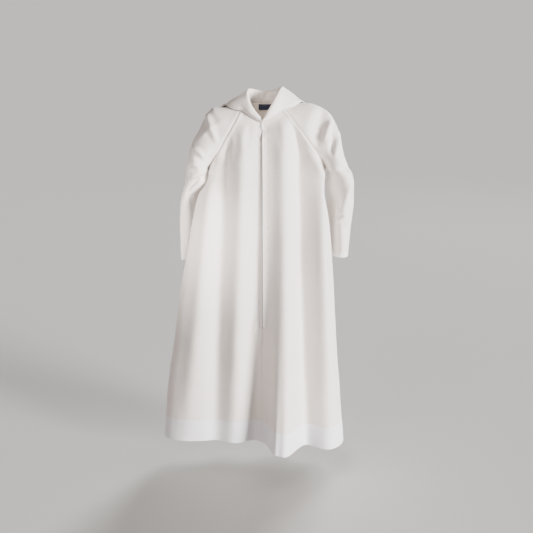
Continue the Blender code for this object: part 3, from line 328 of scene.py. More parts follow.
# The raglan seams by the share q from the neck: their places, and the headings in degrees at which
# the body's cloth reaches them and the sleeve's leaves them.
SEAM = "q left_x left_y left_z right_x right_y right_z reach leave"
SEAMS = {
    Face.FRONT: Table(SEAM, (
        (0.0, 0.055, -0.02, -0.003, 0.055, -0.02, -0.003, 51, 62),
        (0.25, 0.09, -0.049, -0.046, 0.078, -0.048, -0.047, 28, 14),
        (0.5, 0.126, -0.058, -0.094, 0.104, -0.057, -0.091, 24, -4),
        (0.75, 0.16, -0.05, -0.14, 0.131, -0.051, -0.14, 40, -34),
        (0.9, 0.18, -0.028, -0.17, 0.15, -0.029, -0.17, 64, -66),
        (1.0, 0.1885, 0.0, -0.188, 0.161, 0.0, -0.188, 86, -88),
    )),
    Face.BACK: Table(SEAM, (
        (0.0, 0.045, 0.038, 0.0, 0.045, 0.038, 0.0, -40, -62),
        (0.25, 0.085, 0.053, -0.045, 0.074, 0.053, -0.046, -16, -6),
        (0.5, 0.124, 0.059, -0.093, 0.103, 0.059, -0.091, -18, 8),
        (0.75, 0.158, 0.049, -0.14, 0.13, 0.049, -0.14, -38, 38),
        (0.9, 0.179, 0.027, -0.17, 0.15, 0.027, -0.17, -64, 66),
        (1.0, 0.1885, 0.0, -0.188, 0.161, 0.0, -0.188, -86, 88),
    )),
}
# The sleeves' top lines, by the share q of the raglan seams, and how far the cloth goes straight on
# from the seams and from the top.
RIDGE = "q x y z front_handle ridge_handle"
RIDGES = {
    Side.LEFT: Table(RIDGE, (
        (0.0, 0.062, 0.008, 0.0, 0.012, 0.01),
        (0.25, 0.13, 0.004, 0.001, 0.022, 0.024),
        (0.5, 0.193, 0.002, -0.024, 0.036, 0.04),
        (0.75, 0.23, 0.002, -0.094, 0.056, 0.06),
        (0.9, 0.244, 0.004, -0.152, 0.078, 0.078),
        (1.0, 0.258, 0.006, -0.19, 0.092, 0.092),
    )),
    Side.RIGHT: Table(RIDGE, (
        (0.0, 0.062, 0.008, 0.0, 0.012, 0.01),
        (0.24, 0.12, 0.004, -0.0115, 0.02, 0.022),
        (0.36, 0.144, 0.003, -0.0125, 0.028, 0.028),
        (0.48, 0.165, 0.003, -0.034, 0.034, 0.038),
        (0.6, 0.186, 0.004, -0.074, 0.042, 0.048),
        (0.75, 0.2085, 0.006, -0.113, 0.052, 0.058),
        (0.9, 0.222, 0.01, -0.158, 0.074, 0.076),
        (1.0, 0.23, 0.014, -0.195, 0.088, 0.09),
    )),
}
# The hanging sleeves, by the share f of their length: the outside and the inside of each ring, how
# far it leans back, its depth before and behind, and how far its outside hangs lower.
ARM = "f outer_x outer_y inner_x inner_y lean front_depth back_depth drop"
ARMS = {
    Side.LEFT: Table(ARM, (
        (0.0, 0.258, 0.006, 0.1885, 0.0, 2, 0.069, 0.069, 0.002),
        (0.06, 0.266, 0.01, 0.1985, 0.01, 4, 0.067, 0.068, 0.0),
        (0.2, 0.274, 0.018, 0.1985, 0.026, 8, 0.065, 0.064, 0.0),
        (0.4, 0.2745, 0.026, 0.202, 0.042, 10, 0.062, 0.056, 0.0),
        (0.7, 0.268, 0.03, 0.206, 0.046, 10, 0.057, 0.05, 0.0),
        (1.0, 0.262, 0.028, 0.2075, 0.042, 8, 0.053, 0.048, 0.0),
    )),
    Side.RIGHT: Table(ARM, (
        (0.0, 0.23, 0.014, 0.161, 0.0, 0, 0.066, 0.0675, 0.007),
        (0.06, 0.2325, 0.018, 0.164, 0.004, -4, 0.064, 0.066, 0.004),
        (0.14, 0.2365, 0.026, 0.169, 0.014, -9, 0.062, 0.064, 0.002),
        (0.22, 0.2395, 0.033, 0.18, 0.03, 4, 0.06, 0.062, 0.0),
        (0.3, 0.242, 0.037, 0.19, 0.043, 12, 0.059, 0.059, 0.0),
        (0.42, 0.245, 0.041, 0.1965, 0.053, 16, 0.057, 0.056, 0.0),
        (0.7, 0.2495, 0.044, 0.207, 0.061, 15, 0.054, 0.052, 0.0),
        (1.0, 0.25, 0.042, 0.215, 0.059, 11, 0.05, 0.05, 0.0),
    )),
}
ARM_LENGTH = {Side.LEFT: 0.273, Side.RIGHT: 0.284}  # from the underarm down
# The hood's lines, by the share w of the neckline from the zip: the roll's crest, how far the line
# reaches down the body, where on that way it lands and how far off, how far it turns up again round
# the pouch's fold (1 is half a turn), and how far it rises from there.
HOOD_LINE = "w x y z reach land lift turn rise"
HOODS = {
    Side.LEFT: Table(HOOD_LINE, (
        (0.0, 0.0045, -0.054, -0.04, 0.005, 0.9, 0.0034, 0.0, 0.0),
        (0.1, 0.013, -0.0535, -0.026, 0.007, 0.9, 0.0036, 0.0, 0.0),
        (0.2, 0.025, -0.049, -0.006, 0.009, 0.9, 0.004, 0.0, 0.0),
        (0.3, 0.037, -0.04, 0.014, 0.011, 0.9, 0.0045, 0.0, 0.0),
        (0.4, 0.048, -0.026, 0.034, 0.018, 0.9, 0.0055, 0.0, 0.0),
        (0.5, 0.057, -0.005, 0.045, 0.04, 0.9, 0.0085, 0.0, 0.0),
        (0.6, 0.06, 0.015, 0.047, 0.064, 0.85, 0.008, 0.4, 0.01),
        (0.7, 0.054, 0.033, 0.045, 0.092, 0.7, 0.0055, 0.85, 0.04),
        (0.8, 0.042, 0.046, 0.0405, 0.128, 0.5, 0.0042, 1.0, 0.085),
        (0.9, 0.026, 0.054, 0.036, 0.165, 0.4, 0.0036, 1.0, 0.135),
        (1.0, 0.006, 0.057, 0.033, 0.195, 0.35, 0.0036, 1.0, 0.172),
    )),
    Side.RIGHT: Table(HOOD_LINE, (
        (0.0, 0.0045, -0.054, -0.04, 0.005, 0.9, 0.0034, 0.0, 0.0),
        (0.1, 0.013, -0.0541, -0.03, 0.008, 0.9, 0.0036, 0.0, 0.0),
        (0.2, 0.0245, -0.05, -0.018, 0.01, 0.9, 0.004, 0.0, 0.0),
        (0.3, 0.035, -0.043, -0.004, 0.013, 0.9, 0.0045, 0.0, 0.0),
        (0.4, 0.042, -0.031, 0.012, 0.019, 0.9, 0.0055, 0.0, 0.0),
        (0.5, 0.045, -0.012, 0.028, 0.036, 0.9, 0.0075, 0.0, 0.0),
        (0.6, 0.044, 0.01, 0.038, 0.052, 0.85, 0.0075, 0.4, 0.01),
        (0.7, 0.038, 0.029, 0.0405, 0.088, 0.7, 0.0055, 0.85, 0.04),
        (0.8, 0.027, 0.044, 0.0395, 0.126, 0.5, 0.0042, 1.0, 0.085),
        (0.9, 0.011, 0.053, 0.0365, 0.165, 0.4, 0.0036, 1.0, 0.135),
        (1.0, -0.006, 0.057, 0.033, 0.195, 0.35, 0.0036, 1.0, 0.172),
    )),
}
# Creases, as seen from the front or the back: width is half the crease's, bend how far its middle
# lies off the straight line from its start to its end.
CREASE = "x_start z_start x_end z_end width out bend"
BODY_CREASES = {
    Face.FRONT: Table(CREASE, (
        (-0.004, -0.668, -0.014, -0.712, 0.0055, -0.0028, 0.001),
        (0.004, -0.67, 0.008, -0.725, 0.005, -0.0024, -0.001),
        (-0.014, -0.655, -0.03, -0.69, 0.0055, 0.0026, 0.0),
        (0.016, -0.66, 0.028, -0.695, 0.005, 0.0018, 0.0),
        (-0.026, -0.64, -0.044, -0.672, 0.006, -0.0018, 0.0),
        (0.042, -0.052, 0.054, -0.135, 0.01, -0.0014, 0.002),
        (-0.034, -0.056, -0.045, -0.13, 0.009, -0.002, -0.002),
        (0.085, -0.085, 0.098, -0.165, 0.01, 0.0024, 0.003),
        (-0.082, -0.085, -0.094, -0.16, 0.01, 0.0022, -0.003),
    )),
    Face.BACK: Table(CREASE, (
        (0.07, -0.11, 0.11, -0.25, 0.012, -0.0028, 0.006),
        (-0.066, -0.105, -0.098, -0.24, 0.012, -0.0026, -0.006),
        (0.1, -0.15, 0.04, -0.23, 0.01, 0.0018, 0.004),
        (-0.096, -0.16, -0.03, -0.245, 0.01, 0.0016, -0.004),
        (0.02, -0.27, -0.05, -0.33, 0.013, -0.0018, 0.004),
    )),
}
ARM_CREASES = {
    (Side.LEFT, Face.FRONT): Table(CREASE, (
        (0.178, -0.012, 0.142, -0.13, 0.017, -0.014, 0.004),
        (0.197, -0.045, 0.178, -0.105, 0.007, 0.01, 0.0),
        (0.209, -0.05, 0.199, -0.14, 0.008, -0.009, 0.003),
        (0.219, -0.09, 0.212, -0.15, 0.008, 0.007, 0.0),
        (0.196, -0.172, 0.258, -0.196, 0.007, -0.004, 0.004),
        (0.255, -0.2, 0.236, -0.47, 0.018, 0.013, -0.004),
        (0.263, -0.215, 0.246, -0.325, 0.006, 0.005, -0.004),
        (0.24, -0.345, 0.243, -0.445, 0.006, 0.005, 0.003),
        (0.222, -0.316, 0.248, -0.334, 0.005, -0.005, 0.0),
        (0.23, -0.352, 0.252, -0.33, 0.005, 0.005, 0.0),
        (0.226, -0.3, 0.24, -0.326, 0.005, 0.004, 0.0),
    )),
    (Side.RIGHT, Face.FRONT): Table(CREASE, (
        (-0.16, -0.21, -0.226, -0.262, 0.008, -0.008, -0.012),
        (-0.163, -0.19, -0.222, -0.24, 0.009, 0.007, -0.01),
        (-0.211, -0.122, -0.169, -0.158, 0.006, 0.007, 0.006),
        (-0.203, -0.142, -0.172, -0.172, 0.01, -0.006, 0.004),
        (-0.214, -0.172, -0.188, -0.205, 0.009, -0.004, 0.0),
        (-0.168, -0.015, -0.13, -0.115, 0.008, 0.007, 0.0),
        (-0.227, -0.265, -0.232, -0.455, 0.011, 0.008, 0.002),
    )),
    (Side.LEFT, Face.BACK): Table(CREASE, (
        (0.185, -0.03, 0.15, -0.11, 0.01, -0.004, 0.004),
        (0.258, -0.2, 0.205, -0.255, 0.009, -0.005, -0.01),
        (0.262, -0.235, 0.215, -0.29, 0.009, 0.004, -0.008),
        (0.24, -0.33, 0.246, -0.44, 0.009, 0.003, 0.003),
    )),
    (Side.RIGHT, Face.BACK): Table(CREASE, (
        (-0.17, -0.04, -0.13, -0.12, 0.01, -0.004, 0.004),
        (-0.226, -0.2, -0.175, -0.25, 0.009, -0.005, 0.01),
        (-0.236, -0.24, -0.2, -0.285, 0.009, 0.004, 0.006),
        (-0.236, -0.32, -0.24, -0.44, 0.009, 0.003, 0.003),
    )),
}
# The sleeves' large creases, by row q and column t, with their heading in degrees.
SLEEVE_CREASE = "q t heading length width out"
SLEEVE_CREASES = {
    Side.LEFT: Table(SLEEVE_CREASE, (
        (0.62, 0.42, 62, 0.06, 0.011, -0.005),
        (0.7, 0.75, 70, 0.05, 0.01, 0.004),
        (1.3, 0.55, 96, 0.11, 0.014, 0.004),
        (1.08, 1.5, 40, 0.06, 0.012, -0.005),
    )),
    Side.RIGHT: Table(SLEEVE_CREASE, (
        (0.55, 0.45, 72, 0.07, 0.011, 0.004),
        (0.95, 0.55, 18, 0.06, 0.012, 0.005),
        (1.12, 0.45, 12, 0.07, 0.011, -0.006),
        (1.1, 1.45, 150, 0.06, 0.012, -0.005),
    )),
}
# Creases of the hood, by the share w of the neckline and the share s of its line.
HOOD_CREASE = "w_start s_start w_end s_end width out"
HOOD_CREASES = {
    Side.LEFT: Table(HOOD_CREASE, (
        (0.3, 0.4, 0.5, 0.75, 0.01, 0.0012),
        (0.55, 0.3, 0.75, 0.5, 0.012, -0.0015),
        (0.85, 0.25, 0.78, 0.6, 0.012, 0.0015),
    )),
    Side.RIGHT: Table(HOOD_CREASE, (
        (0.25, 0.45, 0.5, 0.8, 0.01, -0.0012),
        (0.5, 0.35, 0.7, 0.5, 0.012, 0.0015),
        (0.9, 0.3, 0.8, 0.62, 0.012, -0.0015),
    )),
}


# ---------------------------------------------------------------- cloth

@dataclass
class Cloth:
    """A panel of cloth: a grid of points, rows down and columns across, and its wall.

    Args:
        node: the solid it stands for. The panel is named for it.
        grid: points, rows by columns by three.
        turned: whether the columns run the other way round, so that faces look out.
        wall: the thickness at each point, row or panel.
        gap: how far the edges stand back from the seam lines.
        turned_out: whether it is laid back, and so shows the side that is else inside.
        normals: the way out at each point.
        weld: each point's number, which sewn panels share.
        paper: where each point lies on the flat cloth.
    """

    node: str
    grid: np.ndarray
    # turned_out: whether it is laid back, and so shows the side that is else inside, which then keeps
    # the plain cotton and not the painted warm shade.
    turned: bool
    wall: np.ndarray | float
    gap: np.ndarray | float = SEAM_GAP / 8
    turned_out: bool = False
    normals: np.ndarray = field(default_factory=lambda: np.zeros(0))
    weld: np.ndarray = field(default_factory=lambda: np.zeros(0, int))
    paper: np.ndarray = field(default_factory=lambda: np.zeros(0))

    @property
    def name(self) -> str:
        """Returns the piece's name."""
        return f"alb_{self.node}"

    def cells(self) -> np.ndarray:
        """Returns the four point numbers of each cell, anticlockwise as seen from outside."""
        rows, columns = self.grid.shape[:2]
        number = np.arange(rows * columns).reshape(rows, columns)
        a, b = number[:-1, :-1].ravel(), number[:-1, 1:].ravel()
        c, d = number[1:, 1:].ravel(), number[1:, :-1].ravel()
        return np.stack((a, b, c, d) if self.turned else (a, d, c, b), axis=1)

    def push(self, depth: np.ndarray) -> None:
        """Moves each point out along its normal."""
        self.grid = self.grid + self.normals * depth[..., None]

    def lay_flat(self) -> None:
        """Notes how far each point is across and down the cloth, for its weave."""
        across, down = reach_along(self.grid, 1), reach_along(self.grid, 0)
        middle = across[:, across.shape[1] // 2][:, None]
        self.paper = np.stack([across - middle, -down], axis=2)

    def shell(self) -> bpy.types.Object:
        """Returns the panel as a closed thin shell with rounded edges, and its weave's coordinates."""
        _, first, numbers = np.unique(self.weld, return_index=True, return_inverse=True)
        cells = numbers.reshape(-1)[self.cells()]
        outer, normals = self.grid.reshape(-1, 3)[first], self.normals.reshape(-1, 3)[first]
        wall, gap = (np.broadcast_to(value, self.grid.shape[:2]).reshape(-1)[first][:, None]
                     for value in (self.wall, self.gap))
        inward = inward_edges(outer, cells)
        edge = sorted(inward)
        ways = np.array([inward[corner] for corner in edge])
        drawn = outer.copy()
        drawn[edge] += ways * (gap + EDGE_ROUND * wall)[edge]
        points = [drawn, drawn - normals * wall]
        for turn in (math.pi / 4, math.pi / 2, 3 * math.pi / 4):
            points.append(drawn[edge] - normals[edge] * wall[edge] / 2 * (1 - math.cos(turn))
                          - ways * EDGE_ROUND * wall[edge] * math.sin(turn))
        count = len(outer)
        rim = {corner: [corner] + [2 * count + k * len(edge) + i for k in range(3)] + [corner + count]
               for i, corner in enumerate(edge)}
        faces = [tuple(cell) for cell in cells.tolist()]
        faces += [tuple(i + count for i in reversed(cell)) for cell in cells.tolist()]
        for a, b in open_sides(cells):
            faces += [(rim[b][k], rim[a][k], rim[a][k + 1], rim[b][k + 1]) for k in range(4)]
        piece = mesh_piece(self.name, np.concatenate(points), faces, COTTON, DOUBLE_COTTON, INSIDE_PAINTED_WARM_SHADE)
        double = np.isclose(wall[:, 0], HEM_CLOTH)[cells].all(axis=1)
        slots = np.zeros(len(faces), np.int32)
        slots[:len(cells)] = double
        # Inner faces get the painted warm shade (slot 2), except where a laid-back hood shows its
        # inside; the double layers take slot 1.
        slots[len(cells):2 * len(cells)] = np.where(double, 1, 0 if self.turned_out else 2)
        piece.data.polygons.foreach_set("material_index", slots)
        paper = self.paper.reshape(-1, 2)[first]
        paper = np.concatenate([paper, paper] + [paper[edge]] * 3)
        loops = np.empty(len(piece.data.loops), np.int32)
        piece.data.loops.foreach_get("vertex_index", loops)
        layer = piece.data.uv_layers.new(name="cloth")
        layer.uv.foreach_set("vector", paper[loops].astype(np.float32).ravel())
        return piece


@dataclass
class Sewn:
    """Panels that are sewn together, whose points at one place share a number.

    Args:
        cloths: the panels.
        count: how many numbers there are.
    """

    cloths: list[Cloth]
    count: int = field(init=False)

    def __post_init__(self) -> None:
        """Numbers the points, and notes where they lie on the flat cloth."""
        every = np.concatenate([cloth.grid.reshape(-1, 3) for cloth in self.cloths])
        _, numbers = np.unique(np.round(every, 5), axis=0, return_inverse=True)
        self.count = int(numbers.max()) + 1
        ends = np.cumsum([cloth.grid[..., 0].size for cloth in self.cloths])
        for cloth, weld in zip(self.cloths, np.split(numbers.reshape(-1), ends[:-1])):
            cloth.weld = weld
            cloth.lay_flat()
        self.share_normals()

    def share_normals(self) -> None:
        """Gives each point the mean normal of the cells that meet there, of whichever panel."""
        sums = np.zeros((self.count, 3))
        for cloth in self.cloths:
            cells = cloth.cells()
            p = cloth.grid.reshape(-1, 3)[cells]
            normal = np.cross(p[:, 2] - p[:, 0], p[:, 3] - p[:, 1])
            for corner in range(4):
                np.add.at(sums, cloth.weld[cells[:, corner]], normal)
        sums = unit(sums)
        for cloth in self.cloths:
            cloth.normals = sums[cloth.weld].reshape(cloth.grid.shape)

    def close_seams(self) -> None:
        """Brings the points that share a number back to one place after the panels were shaped."""
        sums, uses = np.zeros((self.count, 3)), np.zeros(self.count)
        for cloth in self.cloths:
            np.add.at(sums, cloth.weld, cloth.grid.reshape(-1, 3))
            np.add.at(uses, cloth.weld, 1)
        means = sums / uses[:, None]
        for cloth in self.cloths:
            cloth.grid = means[cloth.weld].reshape(cloth.grid.shape)
        self.share_normals()


def open_sides(cells: np.ndarray) -> dict[tuple[int, int], list[int]]:
    """Returns the sides that only one cell has, by their two points, with that cell."""
    used = {(cell[k], cell[(k + 1) % 4]): cell for cell in cells.tolist() for k in range(4)}
    return {(a, b): cell for (a, b), cell in used.items() if (b, a) not in used}


def inward_edges(points: np.ndarray, cells: np.ndarray) -> dict[int, np.ndarray]:
    """Finds the way into a sheet from its open edges, in its own plane.

    Args:
        points: of the sheet.
        cells: the four point numbers of each cell.

    Returns:
        The way in from each point of the open edges, longer at corners.
    """
    ways: dict[int, list[np.ndarray]] = {}
    for (a, b), cell in open_sides(cells).items():
        run = unit(points[b] - points[a])
        inward = points[cell].mean(axis=0) - points[a]
        inward = unit(inward - run * np.dot(inward, run))
        ways.setdefault(a, []).append(inward)
        ways.setdefault(b, []).append(inward)
    result = {}
    for corner, found in ways.items():
        total = np.sum(found, axis=0)
        stretch = min(2.0, len(found) / max(float(np.linalg.norm(total)), 1e-6))
        result[corner] = unit(total) * stretch
    return result


def mesh_piece(name: str, points: np.ndarray, faces: list[tuple[int, ...]],
               *finishes: Finish) -> bpy.types.Object:
    """Makes a smooth mesh object.

    Args:
        name: the piece's name.
        points: its places.
        faces: their numbers, round each face.
        finishes: one for each material slot.

    Returns:
        The object, linked to the scene.
    """
    mesh = bpy.data.meshes.new(name)
    mesh.from_pydata(np.asarray(points, float).tolist(), [], faces)
    mesh.update()
    mesh.shade_smooth()
    for finish in finishes:
        mesh.materials.append(finish.material())
    piece = bpy.data.objects.new(name, mesh)
    bpy.context.collection.objects.link(piece)
    return piece


# ---------------------------------------------------------------- relief of the cloth

FOLD_LEAD, FOLD_START = 0.03, 0.05  # a fold starts this far above its top, and grows over this
CREASE_WIDEST, CREASE_NARROWER = 1.15, 0.5  # its middle's share of its width, and less at its ends
CREASE_END = 1.15  # where it has run out, in half lengths
LARGE_END = 1.6  # where a sleeve's large crease has run out, in lengths
BESIDE_AT, BESIDE_HALF, BESIDE_SHARE = 1.7, 1.1, 0.22  # the cloth on both sides gives way to it
FACING_SOON = 3  # how soon the cloth counts as looking the crease's way
LARGE_STILL = 0.25  # beside the underarm seam, the part of t over which large creases fade


def fold_depth(folds: Table, grid: np.ndarray) -> np.ndarray:
    """Returns how far the folds move the cloth out at each place."""
    x, z = grid[..., 0], grid[..., 2]
    total = np.zeros_like(x)
    for fold in folds.records():
        f = np.clip((fold["z_top"] - z) / (fold["z_top"] - HEM_Z), 0.0, 1.0)
        x_mid = fold["x_top"] + (fold["x_low"] - fold["x_top"]) * f
        half = fold["half_top"] + (fold["half_low"] - fold["half_top"]) * f
        out = fold["out_top"] + (fold["out_low"] - fold["out_top"]) * f ** fold["power"]
        start = ease(0.0, FOLD_START, fold["z_top"] + FOLD_LEAD - z)
        end = 1 - (1 - fold["keep"]) * ease(FADE_FROM, -HEM_Z, -z)
        total = total + out * start * end * bell(x - x_mid, half)
    return total


def crease_depth(creases: Table, cloth: Cloth, face: Face) -> np.ndarray:
    """Adds up straight and bent creases, as seen from the front or the back.

    Args:
        creases: a table with the columns of CREASE.
        cloth: the panel.
        face: the side that they are seen from.

    Returns:
        How far each point moves out, which is nothing where the cloth looks the other way.
    """
    total = np.zeros(cloth.grid.shape[:2])
    seen = cloth.grid[..., (0, 2)]
    for crease in creases.records():
        start = np.array([crease["x_start"], crease["z_start"]])
        end = np.array([crease["x_end"], crease["z_end"]])
        length = float(np.linalg.norm(end - start))
        run = (end - start) / length
        offset = seen - (start + end) / 2
        s = (offset @ run) / (length / 2)
        c = offset @ np.array([-run[1], run[0]]) - crease["bend"] * (1 - s * s)
        width = crease["width"] * (CREASE_WIDEST - CREASE_NARROWER * np.clip(s * s, 0.0, 1.0))
        ends = np.clip(1 - (abs(s) / CREASE_END) ** 3, 0.0, 1.0) ** 2
        beside = sum(bell(c / width + at, BESIDE_HALF) for at in (-BESIDE_AT, BESIDE_AT))
        total += crease["out"] * ends * (bell(c, width) - BESIDE_SHARE * beside)
    return total * np.clip(face.sign * cloth.normals[..., 1] * FACING_SOON, 0.0, 1.0)


def placed_crease_depth(creases: Table, grid: np.ndarray, rows: np.ndarray,
                        columns: np.ndarray) -> np.ndarray:
    """Adds up the sleeve's large creases.

    Args:
        creases: a table with the columns of SLEEVE_CREASE.
        grid: the sleeve's points.
        rows: each row's q.
        columns: each column's t.

    Returns:
        How far each point moves out.
    """
    total = np.zeros(grid.shape[:2])
    down, across = unit(np.gradient(grid, axis=0)), unit(np.gradient(grid, axis=1))
    for crease in creases.records():
        at = int(np.argmin(abs(rows - crease["q"]))), int(np.argmin(abs(columns - crease["t"])))
        angle, length = math.radians(crease["heading"]), crease["length"]
        run = across[at] * math.cos(angle) + down[at] * math.sin(angle)
        side = -across[at] * math.sin(angle) + down[at] * math.cos(angle)
        offset = grid - grid[at]
        near = bell(offset @ run, length / 2) * bell(offset @ side, crease["width"])
        ended = ease(length, LARGE_END * length, np.linalg.norm(offset, axis=2))
        total += crease["out"] * near * (1 - ended)
    return total * both_ends(LARGE_STILL, columns)


@dataclass(frozen=True)
class Seam:
    """A sewn seam: a groove, the layers beside it, and light puckers.

    Args:
        seed: sets its puckers apart from others.
        layers: how far the layers beside it stand up, more on the side that they are pressed to.
        layers_at: the distance of their middle from the seam.
        layers_half: half their width.
        groove: how deep the seam is drawn in.
        groove_half: half the groove's width.
        pucker: how far the puckers stand up.
        pucker_size: about how far one reaches.
        pucker_pace: of the stretches with more and with fewer of them.
    """

    seed: float
    layers: float = 0.0005
    layers_at: float = 0.0065
    layers_half: float = 0.0045
    groove: float = 0.0007
    groove_half: float = 0.0030
    pucker: float = 0.0005
    pucker_size: float = 0.013
    pucker_pace: float = 0.021

    def depth(self, distance: np.ndarray, along: np.ndarray, points: np.ndarray) -> np.ndarray:
        """Works out its relief.

        Args:
            distance: from the seam.
            along: the distance along it.
            points: the places, which set the puckers.

        Returns:
            How far each point moves out.
        """
        groove = -self.groove * bell(distance, self.groove_half)
        layers = self.layers * bell(distance - self.layers_at, self.layers_half)
        pucker = self.pucker * wobble(points, self.pucker_size, self.seed)
        pucker = pucker * bell(distance, self.pucker_size)
        return groove + layers + pucker * (0.5 + 0.5 * np.sin(along / self.pucker_pace) ** 2)


# ---------------------------------------------------------------- the fronts and the back

@dataclass(frozen=True)
class Facing:
    """A front's edge beside the zip, folded back and stitched down.

    Args:
        roll: how far the edge rolls up.
        roll_out: how soon that roll falls off.
        top_share: of the roll, beside the pull tab.
        below_pull: between which distances from the neck it grows to all of it.
        layer: how far the folded strip stands up.
        layer_edge: on both sides of the strip's end, over which it stops.
        wave: how far the strip's end waves.
        wave_pace: of the waves.
        wave_half: how far they reach to both sides.
        wave_uneven: their unevenness, in radians.
    """

    roll: float
    roll_out: float = 0.0078
    top_share: float = 0.3
    below_pull: tuple[float, float] = (0.030, 0.055)
    layer: float = 0.0006
    layer_edge: tuple[float, float] = (0.001, 0.002)
    wave: float = 0.0005
    wave_pace: float = 0.0052
    wave_half: float = 0.006
    wave_uneven: Ripple = Ripple(2.0, 0.05, 1.3)

    def rise(self, reach: np.ndarray, fall: np.ndarray) -> np.ndarray:
        """Returns how far it stands up, by the distances from the edge and from the neck."""
        before, after = self.layer_edge
        layer = self.layer * (1 - ease(FACING_WIDTH - before, FACING_WIDTH + after, reach))
        share = self.top_share + (1 - self.top_share) * ease(*self.below_pull, fall)
        return layer + self.roll * np.exp(-reach / self.roll_out) * share

    def waves(self, reach: np.ndarray, fall: np.ndarray, grid: np.ndarray) -> np.ndarray:
        """Returns the waves along the strip's end."""
        waves = np.sin(fall / self.wave_pace + self.wave_uneven.depth(grid))
        return self.wave * waves * bell(reach - FACING_WIDTH, self.wave_half)


@dataclass(frozen=True)
class HemRelief:
    """What a turned-up hem shows: its extra layer, the stitched line, and ripples along it.

    Args:
        layer: how far the extra layer stands up.
        layer_edge: below and above its end, over which it stops.
        line: how deep the stitches draw the cloth in.
        line_half: half that groove's width.
        ripple: how uneven the cloth is there.
        ripple_half: how far the ripples reach to both sides.
    """

    layer: float
    line: float
    line_half: float
    ripple: Ripple
    ripple_half: float
    layer_edge: tuple[float, float] = (-0.002, 0.004)

    def depth(self, above: np.ndarray, grid: np.ndarray) -> np.ndarray:
        """Returns its relief, by the height above the stitches."""
        band = self.layer * (1 - ease(*self.layer_edge, above))
        ripple = self.ripple.depth(grid) * bell(above, self.ripple_half)
        return band - self.line * bell(above, self.line_half) + ripple


